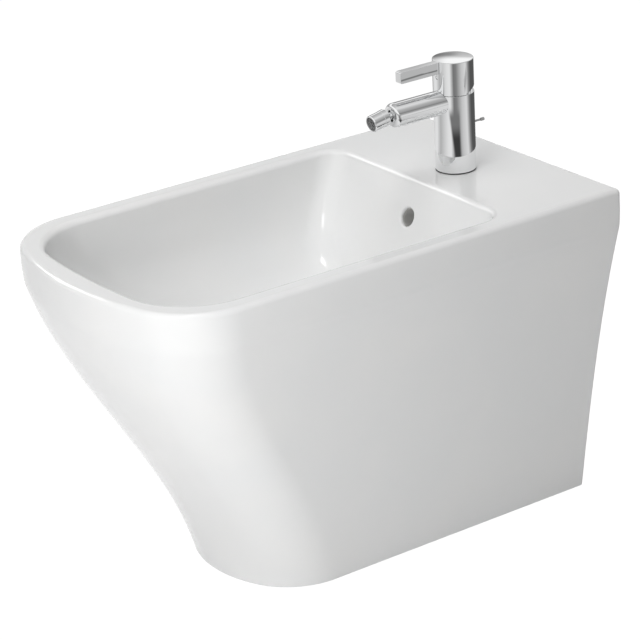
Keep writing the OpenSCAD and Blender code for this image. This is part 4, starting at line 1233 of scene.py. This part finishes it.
def tube_tree():
    shapes = Shapes("bent_tube", {"Bend": "Float", "Radius": "Float", "Sides": "Int", "Finish": "Material"})
    given = shapes.given
    line = shapes.node("GeometryNodeMeshToCurve", None, {"Mesh": given["Geometry"]})
    bent = shapes.node("GeometryNodeFilletCurve", {"mode": "POLY"},
                       {"Curve": line, "Count": 12, "Radius": given["Bend"], "Limit Radius": True})
    circle = shapes.node("GeometryNodeCurvePrimitiveCircle", None,
                         {"Resolution": given["Sides"], "Radius": given["Radius"]})
    swept = shapes.node("GeometryNodeCurveToMesh", None,
                        {"Curve": bent, "Profile Curve": circle, "Fill Caps": True})
    return shapes.end(shapes.node("GeometryNodeSetShadeSmooth", None, {"Geometry": swept}))


def tail_corners(side):
    reach = BEND_R * math.tan(BEND / 2)
    knee = TAIL_BEND - reach
    ankle = knee - TAIL_SPREAD / math.tan(BEND)
    return [(side * TAIL_X, 1, TAIL_TOP), (side * TAIL_X, 1, knee),
            (side * (TAIL_X + TAIL_SPREAD), 1, ankle), (side * (TAIL_X + TAIL_SPREAD), 1, TAIL_END)]


bent_tube = tube_tree()
for side, node in ((-1, "supply_tail_hot"), (1, "supply_tail_cold")):
    tail = grown("copper_tail_" + node[12:], bent_tube, at_mixer, path=tail_corners(side), Bend=BEND_R,
                 Radius=TAIL_R, Sides=24, Finish=copper)
    finished(crisp(tail), copper, "root", node)
    print(tail.name, len(tail.data.polygons), "faces")

# %% Threaded stud
STUD_Y, STUD_R = -11, 4
STUD_LOW, STUD_HIGH = -60, 27
THREAD_PITCH, THREAD_LENGTH, THREAD_RIDGE = 1.25, 44.0, 0.45


def thread_tree():
    shapes = Shapes("thread", {"Turns": "Float", "Pitch": "Float", "Radius": "Float", "Ridge": "Float",
                               "Finish": "Material"})
    given = shapes.given
    height = shapes.maths("MULTIPLY", given["Turns"], given["Pitch"])
    spiral = shapes.node("GeometryNodeCurveSpiral", None,
                         {"Resolution": 20, "Rotations": given["Turns"], "Start Radius": given["Radius"],
                          "End Radius": given["Radius"], "Height": height})
    ridge = shapes.node("GeometryNodeCurvePrimitiveCircle", None, {"Resolution": 3, "Radius": given["Ridge"]})
    return shapes.end(shapes.node("GeometryNodeCurveToMesh", None,
                                  {"Curve": spiral, "Profile Curve": ridge, "Fill Caps": True}))


at_stud = at_mixer @ moved(0, STUD_Y, STUD_LOW)
core_r, stud_length = STUD_R - THREAD_RIDGE, STUD_HIGH - STUD_LOW
core_profile = [(0, 0), (core_r, 0, 0.6), (core_r, stud_length, 0.6), (0, stud_length)]
stud_bar = as_object("stud_core", turned(core_profile, at_stud, 32))
thread = grown("stud_thread", thread_tree(), at_stud @ moved(0, 0, 1), Turns=THREAD_LENGTH / THREAD_PITCH,
               Pitch=THREAD_PITCH, Radius=core_r, Ridge=THREAD_RIDGE, Finish=brass)
finished(crisp(stud_bar), brass, "root", "mixer_stud")
finished(thread, brass, "root", "mixer_stud")
print("thread faces:", len(thread.data.polygons))

# %% [markdown]
# ## Light and background
#
# The photograph is a cut-out on white. Its light is soft and comes from the front right. Here the world
# gives an even light from all sides, and area lamps add the direction. The camera, mirrors and glass see
# the world as plain white: Light Path tells which kind of ray asks, so the white background adds no light
# to the object. The large lamps only light it. A softbox and two small ones show only in its gloss,
# where they draw the bright line on the rim and the spots in the bowl.

# %% World and lamps
AMBIENT = 0.2
world = bpy.data.worlds.new("studio")
bpy.context.scene.world = world
sky = Recipe(world)


def looked_at(recipe):
    """1 for rays of the camera, of mirrors and through glass, and 0 for rays that only carry light."""
    seen = recipe.node("ShaderNodeLightPath", output="Is Camera Ray")
    for kind in ("Is Glossy Ray", "Is Transmission Ray"):
        seen = seen.maths("MAXIMUM", seen, recipe.node("ShaderNodeLightPath", output=kind))
    return seen


sky_tone = AMBIENT + (1 - AMBIENT) * looked_at(sky)
background = sky.node("ShaderNodeBackground", None, {"Color": sky_tone, "Strength": 1.0})
sky.node("ShaderNodeOutputWorld", None, {"Surface": background})
LAMPS = {
    "front_right": ((0.8, -1.9, 1.3), 1.2, 20.5, "light"),
    "above": ((0, 0, 2.2), 1.2, 16.5, "light"),
    "near_right": ((0.95, -0.8, 0.32), 0.5, 3.3, "light"),
    "softbox": ((-1.6, -0.6, 1.5), 0.8, 8, "gloss"),
    "spot_front": ((0.75, -1.55, 1.9), 0.35, 3, "gloss"),
    "spot_above": ((0.1, -0.3, 2.2), 0.35, 3, "gloss"),
}
AIM = Vector((0, 0, 0.25))


def lamp(name, place, size, watts, use):
    """A square lamp, aimed at the bidet, with its place and size in metres. use is light or gloss."""
    data = bpy.data.lights.new(name, "AREA")
    data.energy = watts
    data.size = size
    holder = bpy.data.objects.new(name, data)
    facing = (AIM - Vector(place)).to_track_quat("-Z", "Y").to_matrix().to_4x4()
    holder.matrix_world = Matrix.Translation(place) @ facing
    holder.visible_diffuse = use == "light"
    holder.visible_glossy = use == "gloss"
    bpy.context.scene.collection.objects.link(holder)


for name, settings in LAMPS.items():
    lamp(name, *settings)
print("lamps:", ", ".join(LAMPS))

# %% [markdown]
# The floor is pale, and where it is looked at it is nearly white. A small share of it stays plain matt
# paint, so that the bidet still leaves a faint shadow on it.

# %% Floor
FLOOR_HALF = 6000
FLOOR_Z = -0.5
FLOOR_PAINT = 0.8
FLOOR_GLOW, FLOOR_WHITE = 1.07, 0.94


def sheet_through(rows):
    """A sheet through rows of points in millimetres."""
    sheet = bmesh.new()
    lines = [[sheet.verts.new(point) for point in row] for row in rows]
    for row, following in zip(lines, lines[1:]):
        for k in range(len(row) - 1):
            sheet.faces.new((row[k], row[k + 1], following[k + 1], following[k]))
    return sheet


def level_sheet(half_width, half_depth, y, z):
    return sheet_through([[(x, y + depth, z) for x in (-half_width, half_width)]
                          for depth in (-half_depth, half_depth)])


def staged(name, sheet, recipe_of, share_of):
    """A sheet of the studio. Its material mixes two shaders by a share, which is 1 where the second one
    shows.
    """
    material = bpy.data.materials.new(name)
    recipe = Recipe(material)
    first, second = recipe_of(recipe)
    mixed = recipe.node("ShaderNodeMixShader", None, {0: share_of(recipe), 1: first, 2: second})
    recipe.node("ShaderNodeOutputMaterial", None, {"Surface": mixed})
    piece = as_object(name, sheet)
    piece.data.materials.append(material)
    return piece


def paint_and_glow(recipe):
    return (recipe.node("ShaderNodeBsdfDiffuse", None, {"Color": grey(FLOOR_PAINT)}),
            recipe.node("ShaderNodeEmission", None, {"Color": grey(1), "Strength": FLOOR_GLOW}))


floor = staged("floor", level_sheet(FLOOR_HALF, FLOOR_HALF, 0, FLOOR_Z), paint_and_glow,
               lambda recipe: FLOOR_WHITE * looked_at(recipe))
print("floor:", 2 * FLOOR_HALF * MM, "m wide")

# %% [markdown]
# ## What the chrome sees
#
# Chrome has hardly a look of its own: it shows its surroundings, and in an empty white studio it looks like
# white plastic. Photographers stand a tent with pale and dark walls round such a piece. The same is done
# here with a tent of a wall, a roof and a table that only mirror rays see: Light Path's Is Singular Ray is
# 1 on a ray that left a perfectly smooth mirror. To every other ray they are transparent, so they neither
# light nor shade the ceramic. They are no lamps but sheets that glow with a tone of their own, set place by
# place, so the stripes and shades in the chrome are painted reflections. Their tones follow the place round
# the mixer, so the helpers here turn Object coordinates into distances and an angle from it.

# %% Places in the tent
VIEW_ANGLE = math.radians(-37.9)


def coordinate(spot, axis):
    """A place's X, Y or Z in millimetres."""
    return spot.recipe.node("ShaderNodeSeparateXYZ", None, {0: spot}, axis) / MM


def from_mixer(spot):
    """How far a place is to the right of the mixer's axis and behind it."""
    return coordinate(spot, "X"), coordinate(spot, "Y") - MIXER_Y


def from_front(spot):
    """The same distances, turned: towards the photographer's side, and to the right seen from there."""
    right, behind = from_mixer(spot)
    cosine, sine = math.cos(VIEW_ANGLE), math.sin(VIEW_ANGLE)
    return right * cosine + behind * sine, behind * cosine - right * sine


def turn(spot):
    """Degrees round the mixer: 0 is the photographer's side, and it grows to the right."""
    towards, across = from_front(spot)
    return spot.maths("ARCTAN2", across, towards) * math.degrees(1)


def rise(value, edge, width):
    """From 0 to 1 over this width, with the edge in its middle."""
    return value.recipe.node("ShaderNodeMapRange", {"interpolation_type": "SMOOTHSTEP"},
                             {"Value": value, "From Min": edge - width / 2, "From Max": edge + width / 2})


def within(value, low, high, width):
    return rise(value, low, width) * (1 - rise(value, high, width))


def stepped(value, table):
    """A tone from a table of (value, tone) rows, with straight lines between them."""
    low, high = table[0][0], table[-1][0]
    stops = [((at - low) / (high - low), grey(tone)) for at, tone in table]
    return value.recipe.ramp((value - low) / (high - low), stops)


print("the mixer stands at y =", round(MIXER_Y, 1), "mm")

# %% [markdown]
# The wall and the table share the same pale and dark sectors, which the upright cylinders draw out into
# stripes. The table adds a dark wedge, a painted reflection that draws the deep stripe on the body, and a
# grey sheet for the lever's side, with a dark band across it that paints the dark line along the lever.
# The roof has a strip of light on the left, a white front, and a fall of tone that shades the cap's top.

# %% Tones of the tent
SECTORS = [(-180, 0.6), (-110, 0.9), (-80, 0.5), (-35, 0.85), (-20, 0.9), (0, 0.2), (15, 0.25), (45, 0.65),
           (70, 0.8), (90, 0.25), (105, 0.1), (150, 0.1), (180, 0.6)]
ROOF_TONES = [(-640, 0.35), (-560, 1.1), (-310, 1.1), (-265, 0.4), (-40, 0.6), (85, 0.85), (240, 0.5),
              (720, 0.25)]
BEHIND_TONES = [(600, 1.1), (700, 0.75), (800, 0.4), (900, 0.3)]
HIGH_TONE, FRONT_TONE = 0.4, 1.05
CORNER_SHADE = 0.65
# The lever's sheet and the dark band across it, which paints the dark line along the lever's side: painted
# reflection.
SHEET_TONE, LEVER_LINE_SHADE = 0.54, 0.32


def dark_corner(spot):
    """1 in the corner at the back left, 0 elsewhere."""
    return 1 - rise(turn(spot), -150, 30)


def wall_tone(spot):
    low = stepped(turn(spot), SECTORS) * (1 - CORNER_SHADE * dark_corner(spot))
    upper = rise(coordinate(spot, "Z"), 545, 140)
    return low * (1 - upper) + HIGH_TONE * upper


def table_tone(spot):
    right, behind = from_mixer(spot)
    reach = spot.maths("SQRT", right * right + behind * behind)
    # The dark wedge is a painted reflection: it draws the deep dark stripe on the mixer's body.
    wedge_left = rise(turn(spot) + 0.16 * (reach - 88), -2, 14)
    wedge = wedge_left * (1 - rise(turn(spot), 28, 14)) * (1 - rise(reach, 250, 50))
    tone = stepped(turn(spot), SECTORS) * (1 - wedge) + (0.05 + 0.15 * rise(reach, 175, 60)) * wedge
    tone = tone * (1 - CORNER_SHADE * dark_corner(spot) * rise(reach, 290, 40))
    sheet = within(right, 285, 350, 4) * within(behind, 130, 250, 4)
    # A dark band across the lever's sheet: painted reflection of the dark line along the lever's side.
    lever_line = within(right, 313.5, 319.5, 3)
    return tone * (1 - sheet) + (SHEET_TONE - LEVER_LINE_SHADE * lever_line) * sheet


def roof_tone(spot):
    right, behind = from_mixer(spot)
    front = rise(-1 * behind, 300, 40)
    tone = stepped(right, ROOF_TONES) * (1 - front) + FRONT_TONE * front
    towards, across = from_front(spot)
    away = -1 * towards
    over_cap = rise(spot.maths("ABSOLUTE", turn(spot)), 171, 2) * rise(away, 480, 4)
    left_shade = 1 - 0.35 * rise(-1 * across, 35, 50)
    far_right = 0.25 * rise(across, 10, 50) * rise(away, 770, 90)
    return tone * (1 - over_cap) + (stepped(away, BEHIND_TONES) * left_shade + far_right) * over_cap


print("tones:", [len(table) for table in (SECTORS, ROOF_TONES, BEHIND_TONES)])

# %% Wall, roof and table
TENT_R, WALL_LOW, WALL_HIGH = 900, 398, 715
ROOF_HEIGHT, ROOF_HALF_WIDTH, ROOF_HALF_DEPTH = 760, 1000, 1200
TABLE_HOLE, TABLE_HEIGHT = 82, 401.5
RING_STEPS = 96


def ring_sheet(inner_or_low, outer_or_high):
    """A sheet between two rings round the mixer, each given by its radius and height."""
    angles = [VIEW_ANGLE + 2 * math.pi * (k / RING_STEPS - 0.5) for k in range(RING_STEPS + 1)]
    return sheet_through([[(r * math.cos(a), MIXER_Y + r * math.sin(a), z) for a in angles]
                          for r, z in (inner_or_low, outer_or_high)])


def panel(name, sheet, tone_of):
    """A glowing sheet, no lamp, that only mirror rays see: it paints reflections. tone_of makes its
    brightness from the place on it.
    """
    def clear_and_glow(recipe):
        return (recipe.node("ShaderNodeBsdfTransparent"),
                recipe.node("ShaderNodeEmission", None, {"Color": tone_of(recipe.place()), "Strength": 1.0}))

    piece = staged(name, sheet, clear_and_glow,
                   lambda recipe: recipe.node("ShaderNodeLightPath", output="Is Singular Ray"))
    for kind in ("camera", "diffuse", "transmission", "volume_scatter", "shadow"):
        setattr(piece, "visible_" + kind, False)
    return piece


tent = [panel("tent_wall", ring_sheet((TENT_R, WALL_LOW), (TENT_R, WALL_HIGH)), wall_tone),
        panel("tent_roof", level_sheet(ROOF_HALF_WIDTH, ROOF_HALF_DEPTH, MIXER_Y, ROOF_HEIGHT), roof_tone),
        panel("tent_table", ring_sheet((TABLE_HOLE, TABLE_HEIGHT), (TENT_R, TABLE_HEIGHT)), table_tone)]
print("only mirrors see:", ", ".join(piece.name for piece in tent))

# %% Finish
bpy.context.scene.view_settings.view_transform = "Standard"
